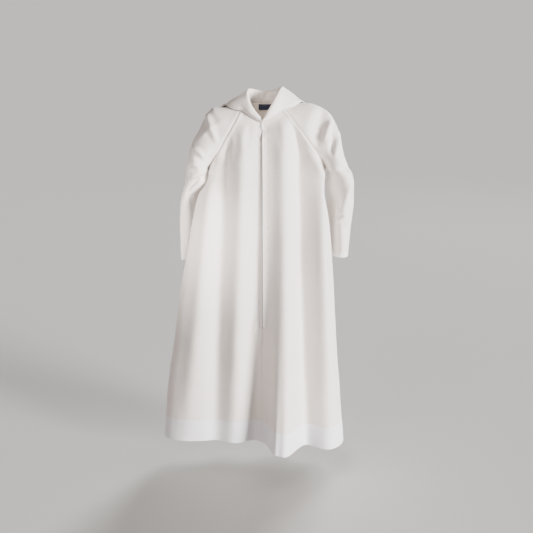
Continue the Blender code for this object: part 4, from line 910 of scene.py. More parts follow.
@dataclass
class Body:
    """The two fronts and the back, in rows from the neck to the hem.

    Args:
        yoke_rows: beside the raglan seams.
        finer: columns to one of CELL's width at the hem.
        centre_pace: of the fronts' columns beside the zip, to their mean.
        square: how square the sides are above the underarm.
        start_flat: how far a row goes straight on from its centre, as a share of its width.
        end_flat: the least that it goes straight on at its side, as the same share.
        side_heading: degrees from the row's level at which it reaches the side seam.
        dip_out: depth below the underarm over which the centre's dip in a row runs out.
        drop_start: the depth from which the rows dip towards the hem's corners.
        zip_gap: between the folded front edges.
        calm_from: the share of a panel's width from which its folds die out towards the side.
        side_seam: of the fronts, whose layers are pressed towards them.
        back_seam: of the back.
        centre_seam: of the fronts, below the zip.
        uneven: how uneven the panels are.
        facing: of each front.
        hem: of all three panels.
    """

    yoke_rows: int = 62
    finer: dict[Face, float] = field(default_factory=lambda: {Face.FRONT: 1.5, Face.BACK: 1.2})
    centre_pace: float = 0.45
    square: float = 0.6
    start_flat: float = 0.55
    end_flat: float = 0.2
    side_heading: float = 88
    dip_out: float = 0.20
    drop_start: float = 0.60
    zip_gap: float = 0.0060
    calm_from: dict[Face, float] = field(default_factory=lambda: {Face.FRONT: 0.86, Face.BACK: 0.78})
    side_seam: Seam = Seam(3.1, layers=0.0014)
    back_seam: Seam = Seam(9.4)
    centre_seam: Seam = Seam(5.9)
    uneven: dict[Face, Ripple] = field(default_factory=lambda: {
        Face.FRONT: Ripple(0.0011, 0.055, 7.7), Face.BACK: Ripple(0.0011, 0.055, 4.1)})
    facing: dict[Side, Facing] = field(default_factory=lambda: {
        Side.LEFT: Facing(roll=0.0072), Side.RIGHT: Facing(roll=0.0004)})
    hem: HemRelief = HemRelief(0.0006, 0.0008, 0.0045, Ripple(0.0006, 0.016, 2.2), 0.020)
    yoke: np.ndarray = field(init=False)
    skirt: np.ndarray = field(init=False)

    def __post_init__(self) -> None:
        """Spaces the rows: by the raglan seam's share above the underarm, by height below it."""
        self.yoke = np.linspace(0, 1, self.yoke_rows + 1)
        self.skirt = np.concatenate([
            np.linspace(start, end, max(2, round((start - end) / CELL)) + 1)[1:]
            for start, end in ((UNDERARM_Z, ZIP_END_Z), (ZIP_END_Z, HEM_TOP_Z), (HEM_TOP_Z, HEM_Z))])

    def levels(self) -> list[Level]:
        """Returns each row's share of the raglan seam, or its height below the underarm."""
        return [(float(q), None) for q in self.yoke] + [(None, float(z)) for z in self.skirt]

    def heights(self) -> np.ndarray:
        """Returns the height of each row, or 0 above the underarm."""
        return np.concatenate([np.zeros(len(self.yoke)), self.skirt])

    def zipped(self) -> np.ndarray:
        """Returns which rows lie beside the zip."""
        return self.heights() >= ZIP_END_Z - NEAR

    def row_at(self, height: float) -> int:
        """Returns the row nearest a height."""
        return int(np.argmin(abs(self.heights() - height)))

    def half_row(self, side: Side, face: Face, level: Level, t: np.ndarray) -> np.ndarray:
        """Draws a row of half a front or back, from its centre line to the seam.

        Args:
            side: which half, worked out with its X above 0.
            face: the front or the back.
            level: the row's place.
            t: the points' places along the row, from 0 to 1.

        Returns:
            The row's points.
        """
        q, z = level
        square = self.square
        if q is not None:
            centre = np.array([0.0, YOKE.read(f"{face}_y", q), YOKE.read(f"{face}_z", q)], float)
            edge = SEAMS[face].point(f"{side}_", q)
            arrive = heading(float(SEAMS[face].read("reach", q)))
        else:
            dip = float(YOKE.column(f"{face}_z")[-1]) - UNDERARM_Z
            sag = dip * (1 - ease(0.0, self.dip_out, UNDERARM_Z - z))
            centre = np.array([0.0, TORSO.read(f"{face}_y", -z), z + sag], float)
            edge = np.array([TORSO.read(f"{side}_x", -z), TORSO.read(f"{side}_y", -z), z], float)
            arrive = heading(-self.side_heading * face.sign)
            if face is Face.FRONT:
                square = float(TORSO.read(f"{side}_corner", -z))
        span = edge - centre
        rise = np.array([0.0, 0.0, span[2] / 3])
        first = centre + np.array([self.start_flat * span[0], 0.0, 0.0]) + rise
        last = edge - arrive * max(square * abs(span[1]), self.end_flat * span[0]) - rise
        row = bezier(centre, first, last, edge, t)
        if z is not None:
            drop = HEM_DROP.read("drop", side.sign * row[:, 0])
            row[:, 2] -= drop * ease(self.drop_start, -HEM_Z, -z)
        return row

    def half(self, side: Side, face: Face) -> np.ndarray:
        """Returns half a front or back, with its cells of about one width at the hem."""
        columns = round(float(TORSO.column(f"{side}_x")[-1]) * self.finer[face] / CELL)
        even = np.linspace(0, 1, columns + 1)
        if face is Face.FRONT:
            even = even * (self.centre_pace + (1 - self.centre_pace) * even)
        rows = []
        for level in self.levels():
            reach = run_length(self.half_row(side, face, level, even))
            rows.append(self.half_row(side, face, level, np.interp(even * reach[-1], reach, even)))
        grid = np.stack(rows)
        grid[..., 0] *= side.sign
        return grid

    def panels(self) -> list[Cloth]:
        """Returns the left front, the right front and the back, before their folds."""
        wall = np.where(self.heights() <= HEM_TOP_Z + NEAR, HEM_CLOTH, CLOTH)[:, None]
        fronts = [Cloth(f"front_{side}", self.half(side, Face.FRONT), side is Side.RIGHT, wall)
                  for side in Side]
        left, right = (self.half(side, Face.BACK) for side in Side)
        grid = np.concatenate([right[:, ::-1], left[:, 1:]], axis=1)
        return [*fronts, Cloth("back", grid, True, wall)]

    def hem_depth(self, grid: np.ndarray) -> np.ndarray:
        """Returns the relief of the turned-up hem."""
        return self.hem.depth(self.heights()[:, None] - HEM_TOP_Z, grid)

    def calm(self, face: Face, across: np.ndarray) -> np.ndarray:
        """Returns the share of the folds that is left towards the sides."""
        return 1 - ease(self.calm_from[face], 1.0, across)

    def shape_front(self, cloth: Cloth, side: Side) -> None:
        """Folds a front and adds its seams, its facing beside the zip and its turned-up hem."""
        grid = cloth.grid
        reach, fall = reach_along(grid, 1), reach_along(grid, 0)
        depth = fold_depth(FOLDS[Face.FRONT], grid)
        depth *= self.calm(Face.FRONT, np.linspace(0, 1, grid.shape[1]))
        depth += crease_depth(BODY_CREASES[Face.FRONT], cloth, Face.FRONT)
        depth += self.side_seam.depth(reach[:, -1:] - reach, fall, grid)
        depth += self.uneven[Face.FRONT].depth(grid) + self.hem_depth(grid)
        zipped = self.zipped()[:, None]
        rise = self.facing[side].rise(reach, fall) * zipped
        depth += rise + self.facing[side].waves(reach, fall, grid) * zipped
        depth += self.centre_seam.depth(reach, fall, grid) * ~zipped
        cloth.wall = cloth.wall + rise
        cloth.push(depth)

    def shape_back(self, cloth: Cloth) -> None:
        """Folds the back and adds its side seams and hem."""
        grid = cloth.grid
        depth = fold_depth(FOLDS[Face.BACK], grid)
        depth *= self.calm(Face.BACK, abs(np.linspace(-1, 1, grid.shape[1])))
        depth += crease_depth(BODY_CREASES[Face.BACK], cloth, Face.BACK)
        depth += self.back_seam.depth(to_edge(reach_along(grid, 1)), reach_along(grid, 0), grid)
        cloth.push(depth + self.uneven[Face.BACK].depth(grid) + self.hem_depth(grid))


# ---------------------------------------------------------------- the sleeves

@dataclass
class Sleeve:
    """A raglan sleeve: its cap over the shoulder, and the arm that hangs from it.

    Args:
        side: which sleeve.
        yoke: the body's rows beside the raglan seams, which the cap shares.
        columns: round the sleeve, from the underarm over the front.
        cuff_rows: in the turned-up cuff.
        crest: how steeply the cap's lines leave the seams, as a share of their rise.
        arm_still: beside the underarm seam, the part of t over which the arm's creases fade.
        seam: of the raglan seams and the underarm seam.
        uneven: how uneven the sleeve is.
        cuff: its hem.
    """

    side: Side
    yoke: np.ndarray
    columns: int = 112
    cuff_rows: int = 4
    crest: float = 0.4
    arm_still: float = 0.16
    seam: Seam = Seam(6.3)
    uneven: Ripple = Ripple(0.0013, 0.040, 8.8)
    cuff: HemRelief = HemRelief(0.0, 0.0006, 0.0030, Ripple(0.0004, 0.010, 3.3), 0.010)

    @property
    def length(self) -> float:
        """Returns the arm's length below the underarm."""
        return ARM_LENGTH[self.side]

    def cap_row(self, q: float, t: np.ndarray) -> np.ndarray:
        """Draws a row over the shoulder.

        Args:
            q: the row's share of the raglan seams.
            t: the points' places, from the front seam (0) over the top (1) to the back seam (2).

        Returns:
            The row's points.
        """
        ridge = RIDGES[self.side]
        top = ridge.point("", q)
        halves = []
        for face, share in ((Face.FRONT, t[t <= 1]), (Face.BACK, 2 - t[t > 1])):
            start = SEAMS[face].point(f"{self.side}_", q)
            rise = np.array([0.0, 0.0, self.crest * (top[2] - start[2])])
            handle = heading(float(SEAMS[face].read("leave", q))) * float(ridge.read("front_handle", q))
            last = top + np.array([0.0, face.sign * float(ridge.read("ridge_handle", q)), 0.0])
            halves.append(bezier(start, start + handle + rise, last, top, share))
        return np.concatenate(halves)

    def arm_row(self, f: float, t: np.ndarray) -> np.ndarray:
        """Draws a ring of the hanging sleeve.

        Args:
            f: the ring's share of the arm's length.
            t: the points' places, from the underarm (0) over the front and the outside (1).

        Returns:
            The ring's points.
        """
        arm = ARMS[self.side]
        z = UNDERARM_Z - self.length * f
        inner = np.array([arm.read("inner_x", f), arm.read("inner_y", f), z], float)
        outer = np.array([arm.read("outer_x", f), arm.read("outer_y", f), z - arm.read("drop", f)],
                         float)
        forward = heading(-90 + float(arm.read("lean", f)))
        halves = []
        for face, share in ((Face.FRONT, t[t <= 1]), (Face.BACK, 2 - t[t > 1])):
            reach = -face.sign * forward * float(arm.read(f"{face}_depth", f)) / BEZIER_BULGE
            halves.append(bezier(inner, inner + reach, outer + reach, outer, share))
        return np.concatenate(halves)

    def arm_shares(self) -> np.ndarray:
        """Returns the rows of the hanging sleeve, as shares of its length."""
        turn = 1 - CUFF_DEPTH / self.length
        upper = np.linspace(0, turn, round(turn * self.length / CELL) + 1)[1:]
        return np.concatenate([upper, np.linspace(turn, 1, self.cuff_rows + 1)[1:]])

    def panel(self) -> Cloth:
        """Returns the sleeve, its cap first, before its creases."""
        t = np.linspace(0, 2, self.columns + 1)
        rows = [self.cap_row(float(q), t) for q in self.yoke]
        grid = np.stack(rows + [self.arm_row(float(f), t) for f in self.arm_shares()])
        grid[..., 0] *= self.side.sign
        shares = np.concatenate([np.zeros(len(self.yoke)), self.arm_shares()])
        wall = np.where(shares >= 1 - CUFF_DEPTH / self.length - NEAR, HEM_CLOTH, CLOTH)[:, None]
        return Cloth(f"sleeve_{self.side}", grid, self.side is Side.RIGHT, wall)

    def shape(self, cloth: Cloth) -> None:
        """Creases the sleeve and adds its seams and its cuff."""
        grid = cloth.grid
        rows = np.concatenate([self.yoke, 1 + self.arm_shares()])
        columns = np.linspace(0, 2, grid.shape[1])
        depth = placed_crease_depth(SLEEVE_CREASES[self.side], grid, rows, columns)
        for face in Face:
            creases = crease_depth(ARM_CREASES[self.side, face], cloth, face)
            depth += creases * both_ends(self.arm_still, columns)
        reach, fall = reach_along(grid, 1), reach_along(grid, 0)
        depth += self.seam.depth(to_edge(reach), fall, grid) + self.uneven.depth(grid)
        cloth.push(depth + self.cuff.depth(fall[-1:] - fall - CUFF_DEPTH, grid))


# ---------------------------------------------------------------- the hood

@dataclass(frozen=True)
class PanelColumn:
    """A line down a panel from the neck seam, with its normals."""

    points: np.ndarray
    normals: np.ndarray

    def place(self, distance: float) -> tuple[np.ndarray, np.ndarray, np.ndarray]:
        """Returns the point, the normal and the run at a distance below the neck."""
        reach = run_length(self.points)
        i = int(np.clip(np.searchsorted(reach, distance, side="right") - 1, 0, len(reach) - 2))
        t = (distance - reach[i]) / (reach[i + 1] - reach[i])
        normal = self.normals[i] * (1 - t) + self.normals[i + 1] * t
        run = self.points[i + 1] - self.points[i]
        return self.points[i] + run * t, unit(normal), unit(run)

    def above(self, distance: float, lift: float) -> np.ndarray:
        """Returns the place at a distance below the neck, lifted off the cloth."""
        point, normal, _ = self.place(distance)
        return point + normal * lift


@dataclass
class Hood:
    """Half the hood, laid back: it stands at the neck, rolls over, and hangs in a pouch behind.

    Args:
        side: which half.
        neck: the lines down the panels below it, from the zip round to the back's centre.
        axis: what the roll goes round, as X and Y.
        roll_radius: of the roll at the neck.
        roll_least: the share of that radius at the zip.
        roll_full: the share of the neckline by which it has grown to all of it.
        stand_hollow: how far in the cloth goes between the neck and the roll.
        belly: how far the cloth bulges out and up below the roll.
        pouch_radius: of the pouch's lower fold.
        pouch_puff: how far the pouch's upper layer stands off.
        clearance: from the cloth below to the hood's outer face.
        fineness: rows for each part of a line.
        parts: rows of each stretch of a line that goes round the pouch, before fineness.
        even_reach: columns to each side that even out the lines.
        even_rows: the shares of a line from which and by which it is evened out.
        raglan_share: of the neckline, from the zip to the front raglan seam.
        raglan_half: how far beside that seam the lines are evened out.
        hem_depth: of the free edge's hem.
        hem_line: how deep its stitches draw the cloth in.
        hem_line_half: half that groove's width.
        still: distances from the neck over which the creases start.
        still_share: of the neckline from the zip, over which they start too.
        seam: down the hood's centre.
        uneven: how uneven the hood is.
    """

    side: Side
    neck: list[PanelColumn]
    axis: tuple[float, float] = (0.006, 0.004)
    roll_radius: float = 0.0050
    roll_least: float = 0.55
    roll_full: float = 0.3
    stand_hollow: float = 0.002
    belly: tuple[float, float] = (0.003, 0.001)
    pouch_radius: float = 0.0085
    pouch_puff: float = 0.010
    clearance: float = 0.0034
    fineness: int = 5
    parts: tuple[int, ...] = (2, 1, 1, 5, 3, 4)
    even_reach: int = 26
    even_rows: tuple[float, float] = (0.10, 0.35)
    raglan_share: float = 0.43
    raglan_half: float = 0.12
    hem_depth: float = 0.012
    hem_line: float = 0.0004
    hem_line_half: float = 0.0025
    still: tuple[float, float] = (0.001, 0.010)
    still_share: float = 0.03
    seam: Seam = Seam(2.9)
    uneven: Ripple = Ripple(0.0009, 0.035, 5.5)

    def line(self, column: PanelColumn, w: float) -> np.ndarray:
        """Draws one line of the hood, from the neck seam over the roll to its free edge.

        Args:
            column: the line down the panel below.
            w: the share of the neckline, from the zip.

        Returns:
            The line's points, one for each row.
        """
        table = HOODS[self.side]
        row = {name: float(table.read(name, w)) for name in table.columns.split()}
        up, level = np.array([0.0, 0.0, 1.0]), np.array([1.0, 1.0, 0.0])
        crest = np.array([self.side.sign * row["x"], row["y"], row["z"]])
        out = unit((crest - np.array([*self.axis, 0.0])) * level)
        grown = float(ease(0.0, self.roll_full, w))
        radius = self.roll_radius * (self.roll_least + (1 - self.roll_least) * grown)
        stand_top, fall_top = crest - (out + up) * radius, crest + (out - up) * radius
        stand = (column.points[0] + stand_top) / 2 - out * self.stand_hollow
        landing = column.above(row["reach"] * row["land"], row["lift"])
        lean = unit((fall_top - crest) * level)
        middle = (fall_top + landing) / 2 + lean * self.belly[0] + up * self.belly[1]
        points = [column.points[0], stand, stand_top, crest, fall_top, middle, landing]
        if row["turn"] <= 0:
            return self.spaced([*points, column.above(row["reach"], self.clearance)], [], 0.0)
        marks = [2, 3, 4, 8, 11]  # the roll's start, top and end, then the fold's start and end
        return self.spaced(points + self.pouch(column, row), marks, row["turn"])

    def pouch(self, column: PanelColumn, row: dict[str, float]) -> list[np.ndarray]:
        """Returns the rest of a line that goes down the back, round the fold and up again."""
        turn, reach = row["turn"], row["reach"]
        foot, normal, run = column.place(reach)
        points = [column.above(reach * (row["land"] + (1 - row["land"]) * share),
                               self.clearance + (row["lift"] - self.clearance) * (1 - share))
                  for share in (0.5, 1.0)]
        radius = self.pouch_radius * turn
        for share in (0.34, 0.67, 1.0):
            angle = math.pi * turn * share
            points.append(foot + normal * (self.clearance + radius * (1 - math.cos(angle)))
                          + run * radius * math.sin(angle))
        for share in (0.25, 0.5, 0.75, 1.0):
            puff = self.pouch_puff * turn * math.sin(math.pi * (0.15 + 0.6 * share))
            lift = self.clearance + radius * (1 - math.cos(math.pi * turn)) + puff
            points.append(column.above(reach - row["rise"] * share, lift))
        return points

    def spaced(self, points: list[np.ndarray], marks: list[int], turn: float) -> np.ndarray:
        """Smooths a line and spaces its rows, closer where it turns.

        Args:
            points: the line's own points.
            marks: those that end a part with its own count of rows.
            turn: how far the line turns up at its foot, from 0 to 1.

        Returns:
            The line's points, one for each row.
        """
        steps = 10
        dense = smooth_line(np.array(points), steps)
        reach = run_length(dense)
        target = np.linspace(0, reach[-1], sum(self.parts) * self.fineness + 1)
        if marks:
            stops = [0.0] + [float(reach[mark * steps]) for mark in marks] + [float(reach[-1])]
            placed = [0.0]
            for low, high, count in zip(stops, stops[1:], self.parts):
                count *= self.fineness
                placed += [low + (high - low) * (k + 1) / count for k in range(count)]
            share = float(ease(0.0, 0.8, turn))
            target = target * (1 - share) + np.array(placed) * share
        return read_line(target, reach, dense)

    def even_across(self, grid: np.ndarray) -> np.ndarray:
        """Evens out neighbouring lines below the roll, which else follow the raglan seam's kink."""
        rows, columns = grid.shape[:2]
        wide = self.even_reach
        spread = bell(np.arange(-wide, wide + 1), wide / 2)
        spread /= spread.sum()
        padded = np.concatenate([2 * grid[:, :1] - grid[:, wide:0:-1], grid,
                                 2 * grid[:, -1:] - grid[:, -2:-wide - 2:-1]], axis=1)
        evened = sum(share * padded[:, k:k + columns] for k, share in enumerate(spread))
        down = ease(*self.even_rows, np.linspace(0, 1, rows))[:, None]
        beside = bell(np.linspace(0, 1, columns) - self.raglan_share, self.raglan_half)
        share = (down * beside)[..., None]
        return grid * (1 - share) + evened * share

    def panel(self) -> Cloth:
        """Returns half the hood, before its creases."""
        reach = run_length(np.array([column.points[0] for column in self.neck]))
        lines = [self.line(column, w) for column, w in zip(self.neck, reach / reach[-1])]
        grid = self.even_across(np.stack(lines, axis=1))
        gap = np.full(grid.shape[:2], SEAM_GAP / 2)
        gap[0] = NECK_GAP
        return Cloth(f"hood_{self.side}", grid, self.side is Side.LEFT, CLOTH, gap, turned_out=True)

    def shape(self, cloth: Cloth) -> None:
        """Adds the hood's soft creases, its centre seam and its hemmed free edge."""
        grid = cloth.grid
        rows, columns = grid.shape[:2]
        reach, fall = reach_along(grid, 1), reach_along(grid, 0)
        depth = self.seam.depth(reach[:, -1:] - reach, fall, grid) + self.uneven.depth(grid)
        depth -= self.hem_line * bell(fall[-1:] - fall - self.hem_depth, self.hem_line_half)
        line = np.linspace(0, 1, 12)
        for crease in HOOD_CREASES[self.side].records():
            path = []
            for axis, count in (("s", rows), ("w", columns)):
                start, end = crease[f"{axis}_start"], crease[f"{axis}_end"]
                path.append(np.round((start + (end - start) * line) * (count - 1)).astype(int))
            near = np.min(np.linalg.norm(grid[:, :, None] - grid[tuple(path)], axis=3), axis=2)
            depth += crease["out"] * bell(near, crease["width"])
        from_zip = ease(0.0, self.still_share, np.linspace(0, 1, columns))
        cloth.push(depth * ease(*self.still, fall) * from_zip)


# ---------------------------------------------------------------- finishes

MIX_SHARE, MIX_FIRST, MIX_SECOND, MIX_RESULT = 0, 6, 7, 2  # the numbers of a colour mix's sockets


def linear(code: str) -> tuple[float, float, float, float]:
    """Returns an sRGB colour code such as "E8E5E0" as the linear colour that a shader takes."""
    values = [int(code[i:i + 2], 16) / 255 for i in (0, 2, 4)]
    return (*(v / 12.92 if v <= 0.04045 else ((v + 0.055) / 1.055) ** 2.4 for v in values), 1.0)


def add_node(tree: bpy.types.NodeTree, kind: str, inputs: dict | None = None,
             **settings: object) -> bpy.types.Node:
    """Adds a shader node.

    Args:
        tree: the material's node tree.
        kind: the node's type, without "ShaderNode".
        inputs: values, or the output sockets that feed them, by input name or number.
        settings: the node's own properties.

    Returns:
        The node.
    """
    node = tree.nodes.new("ShaderNode" + kind)
    for name, value in settings.items():
        setattr(node, name, value)
    for name, value in (inputs or {}).items():
        if isinstance(value, bpy.types.NodeSocket):
            tree.links.new(value, node.inputs[name])
        else:
            node.inputs[name].default_value = value
    return node


@dataclass(frozen=True)
class Weave:
    """How a cloth is woven.

    Args:
        pitch: from one thread to the next, in metres.
        relief: how deep the weave is, in metres.
        slub: the length of a thicker stretch of thread, in metres.
    """

    pitch: float
    relief: float
    slub: float


@dataclass(frozen=True)
class Finish:
    """A real finish: its colours, its gloss and its weave.

    Args:
        name: the finish, in words.
        colour: sRGB code of the lit surface.
        tint: sRGB code that it drifts towards in patches.
        roughness: of the surface.
        sheen: share of soft fibre sheen.
        weave: how it is woven, or None for a hard finish.
        coat: share of a clear coat.
        ior: index of refraction, about 1.5 for fibres, nylon and enamel alike.
    """

    name: str
    colour: str
    tint: str
    roughness: float
    sheen: float = 0.0
    weave: Weave | None = None
    coat: float = 0.0
    ior: float = 1.5

    def material(self) -> bpy.types.Material:
        """Returns the material, made at the first call."""
        found = bpy.data.materials.get(self.name)
        if found:
            return found
        made = bpy.data.materials.new(self.name)
        made.use_nodes = True
        shader = made.node_tree.nodes["Principled BSDF"]
        for name, value in (("IOR", self.ior), ("Roughness", self.roughness), ("Sheen Roughness", 0.5),
                            ("Sheen Weight", self.sheen), ("Coat Weight", self.coat)):
            shader.inputs[name].default_value = value
        dress = self._weave if self.weave else self._mould
        dress(made.node_tree, shader)
        return made

    def _colour(self, tree: bpy.types.NodeTree, shader: bpy.types.Node,
                share: bpy.types.NodeSocket) -> None:
        """Mixes the tint into the colour by a share."""
        mixed = add_node(tree, "Mix", {MIX_SHARE: share, MIX_FIRST: linear(self.colour),
                                       MIX_SECOND: linear(self.tint)}, data_type="RGBA")
        tree.links.new(mixed.outputs[MIX_RESULT], shader.inputs["Base Color"])

    def _weave(self, tree: bpy.types.NodeTree, shader: bpy.types.Node) -> None:
        """Colours and bumps the surface as woven cloth, in the cloth's own metres."""
        paper = add_node(tree, "UVMap", uv_map="cloth").outputs["UV"]
        patches = add_node(tree, "TexNoise", {"Vector": paper, "Scale": 9.0, "Detail": 3.0})
        slub = self.weave.slub
        streaks = []
        for across, down in ((0.12, 1.0), (1.0, 0.12)):
            stretched = add_node(tree, "Mapping", {"Vector": paper,
                                                   "Scale": (across / slub, down / slub, 1.0)})
            streaks.append(add_node(tree, "TexNoise", {"Vector": stretched.outputs["Vector"],
                                                       "Scale": 9.0, "Detail": 2.0}).outputs["Fac"])
        slubs = add_node(tree, "Math", {0: streaks[0], 1: streaks[1]}, operation="ADD")
        share = add_node(tree, "Math", {0: slubs.outputs[0], 1: patches.outputs["Fac"]},
                         operation="ADD")
        drift = add_node(tree, "MapRange", {"Value": share.outputs[0], "From Min": 1.1,
                                            "From Max": 1.9})
        self._colour(tree, shader, drift.outputs["Result"])
        split = add_node(tree, "SeparateXYZ", {"Vector": paper})
        threads = []
        for axis in ("X", "Y"):
            turns = add_node(tree, "Math", {0: split.outputs[axis], 1: math.pi / self.weave.pitch},
                             operation="MULTIPLY")
            threads.append(add_node(tree, "Math", {0: turns.outputs[0]}, operation="SINE").outputs[0])
        woven = add_node(tree, "Math", {0: threads[0], 1: threads[1]}, operation="MULTIPLY")
        fine = add_node(tree, "Bump", {"Height": woven.outputs[0], "Strength": 0.35,
                                       "Distance": self.weave.relief})
        coarse = add_node(tree, "Bump", {"Height": slubs.outputs[0], "Strength": 0.5,
                                         "Distance": self.weave.relief * 3,
                                         "Normal": fine.outputs["Normal"]})
        tree.links.new(coarse.outputs["Normal"], shader.inputs["Normal"])

    def _mould(self, tree: bpy.types.NodeTree, shader: bpy.types.Node) -> None:
        """Colours and bumps the surface as a moulded or enamelled one, mottled by the millimetre."""
        place = add_node(tree, "TexCoord").outputs["Object"]
        mottle = add_node(tree, "TexNoise", {"Vector": place, "Scale": 700.0, "Detail": 3.0})
        self._colour(tree, shader, mottle.outputs["Fac"])
        gloss = add_node(tree, "MapRange", {
            "Value": mottle.outputs["Fac"], "To Min": self.roughness - 0.05,
            "To Max": self.roughness + 0.08})
        tree.links.new(gloss.outputs["Result"], shader.inputs["Roughness"])
        skin = add_node(tree, "Bump", {"Height": mottle.outputs["Fac"], "Strength": 0.15,
                                       "Distance": 0.00005})
        tree.links.new(skin.outputs["Normal"], shader.inputs["Normal"])


PLAIN_WEAVE = Weave(pitch=0.00045, relief=0.00012, slub=0.020)
# Off-white without gloss. Fibre ends give folds that turn away from the eye a soft, pale rim.
COTTON = Finish("pressed_cotton_plain_weave", "EDE7E3", "E5DDD8", 0.85, 0.12, PLAIN_WEAVE)
# Less light gets through two layers, so that the hem and the cuffs look whiter and cooler.
DOUBLE_COTTON = Finish("pressed_cotton_in_two_layers", "F1F0F3", "EAE9EC", 0.85, 0.12, PLAIN_WEAVE)
# The side that is else inside, a little warmer: painted warm shade, so that the openings look deep but
# not grey.
INSIDE_PAINTED_WARM_SHADE = Finish("cotton_wrong_side", "EDE4DB", "E5DBD1", 0.85, 0.12, PLAIN_WEAVE)
# Twisted thread with a slight gloss, so that the stitches are fine dots on the dull cloth.
THREAD = Finish("white_sewing_thread", "E9E7E3", "DEDBD6", 0.7)
# Dense and dull, a shade greyer than the cloth, so that the zip is a soft grey line.
TAPE = Finish("woven_zip_tape", "DCDAD7", "CFCCC8", 0.85, 0.05)
# Drawn nylon, smoother than the tape, so that the teeth catch small blurred lights.
COIL = Finish("nylon_zip_coil", "E4E3E0", "D8D6D2", 0.4)
# Whiter than all round it, and its clear coat shows the lights as small sharp spots.
ENAMEL = Finish("white_enamel_on_zinc", "F6F6F4", "EFEFEC", 0.3, coat=0.4)
# Dark blue, with a broad soft gloss from its long smooth threads.
SATIN = Finish("navy_woven_satin", "1B2338", "2A3450", 0.55, 0.2)
# Pale and matt, so that it shows only soft shadows.
FLOOR = Finish("pale_studio_floor", "D6D5D3", "D3D2D0", 0.9)


# ---------------------------------------------------------------- sewing

@dataclass(frozen=True)
class Stitch:
    """One size of stitch.

    Args:
        length: seen on the face of the cloth.
        pitch: from one stitch to the next.
        thick: of the thread.
    """

    length: float
    pitch: float
    thick: float


BEAD_RINGS, BEAD_SIDES = 3, 6
BEAD_BLUNT = 0.6  # how full a bead's ends are: 1 for a ball, less for a blunter bar


def bead(rings: int, sides: int) -> tuple[np.ndarray, list[tuple[int, ...]]]:
    """Makes a rounded bar along X, within -1 to 1 on every axis.

    Args:
        rings: of points between its ends.
        sides: points in each ring.

    Returns:
        Its points, and the point numbers of its faces.
    """
    points: list[Place] = [(-1.0, 0.0, 0.0)]
    for i in range(rings):
        along = math.pi * (i + 1) / (rings + 1)
        radius = math.sin(along) ** BEAD_BLUNT
        for k in range(sides):
            turn = 2 * math.pi * k / sides
            points.append((-math.cos(along), radius * math.cos(turn), radius * math.sin(turn)))
    points.append((1.0, 0.0, 0.0))
    faces: list[tuple[int, ...]] = []
    last = len(points) - 1
    for k in range(sides):
        after = (k + 1) % sides
        faces.append((0, 1 + after, 1 + k))
        for i in range(rings - 1):
            a, b = 1 + i * sides, 1 + (i + 1) * sides
            faces.append((a + k, a + after, b + after, b + k))
        faces.append((last, last - sides + k, last - sides + after))
    return np.array(points), faces


def many(name: str, centres: np.ndarray, runs: np.ndarray, normals: np.ndarray, half: Place,
         finish: Finish) -> bpy.types.Object:
    """Makes one mesh of many beads.

    Args:
        name: the piece's name.
        centres: the middle of each bead.
        runs: the way that each bead points.
        normals: the way out of the cloth at each bead.
        half: half the bead's length, width and height.
        finish: its finish.

    Returns:
        The piece.
    """
    points, faces = bead(BEAD_RINGS, BEAD_SIDES)
    normals = unit(normals - runs * np.sum(runs * normals, axis=1, keepdims=True))
    axes = np.stack([runs, np.cross(normals, runs), normals], axis=1) * np.array(half)[None, :, None]
    every = centres[:, None] + np.einsum("pk,nkj->npj", points, axes)
    starts = range(0, len(centres) * len(points), len(points))
    all_faces = [tuple(i + start for i in face) for start in starts for face in faces]
    return mesh_piece(name, every.reshape(-1, 3), all_faces, finish)


@dataclass(frozen=True)
class Line:
    """A line on the cloth's face, with the normals there."""

    points: np.ndarray
    normals: np.ndarray

    def paced(self, pitch: float) -> tuple[np.ndarray, np.ndarray, np.ndarray]:
        """Walks along the line at an even pitch.

        Args:
            pitch: from one point to the next.

        Returns:
            The points, their runs and their normals.
        """
        reach = run_length(self.points)
        at = np.arange(pitch / 2, reach[-1], pitch)
        ahead, behind = (read_line(at + step, reach, self.points) for step in (pitch / 4, -pitch / 4))
        return (read_line(at, reach, self.points), unit(ahead - behind),
                unit(read_line(at, reach, self.normals)))


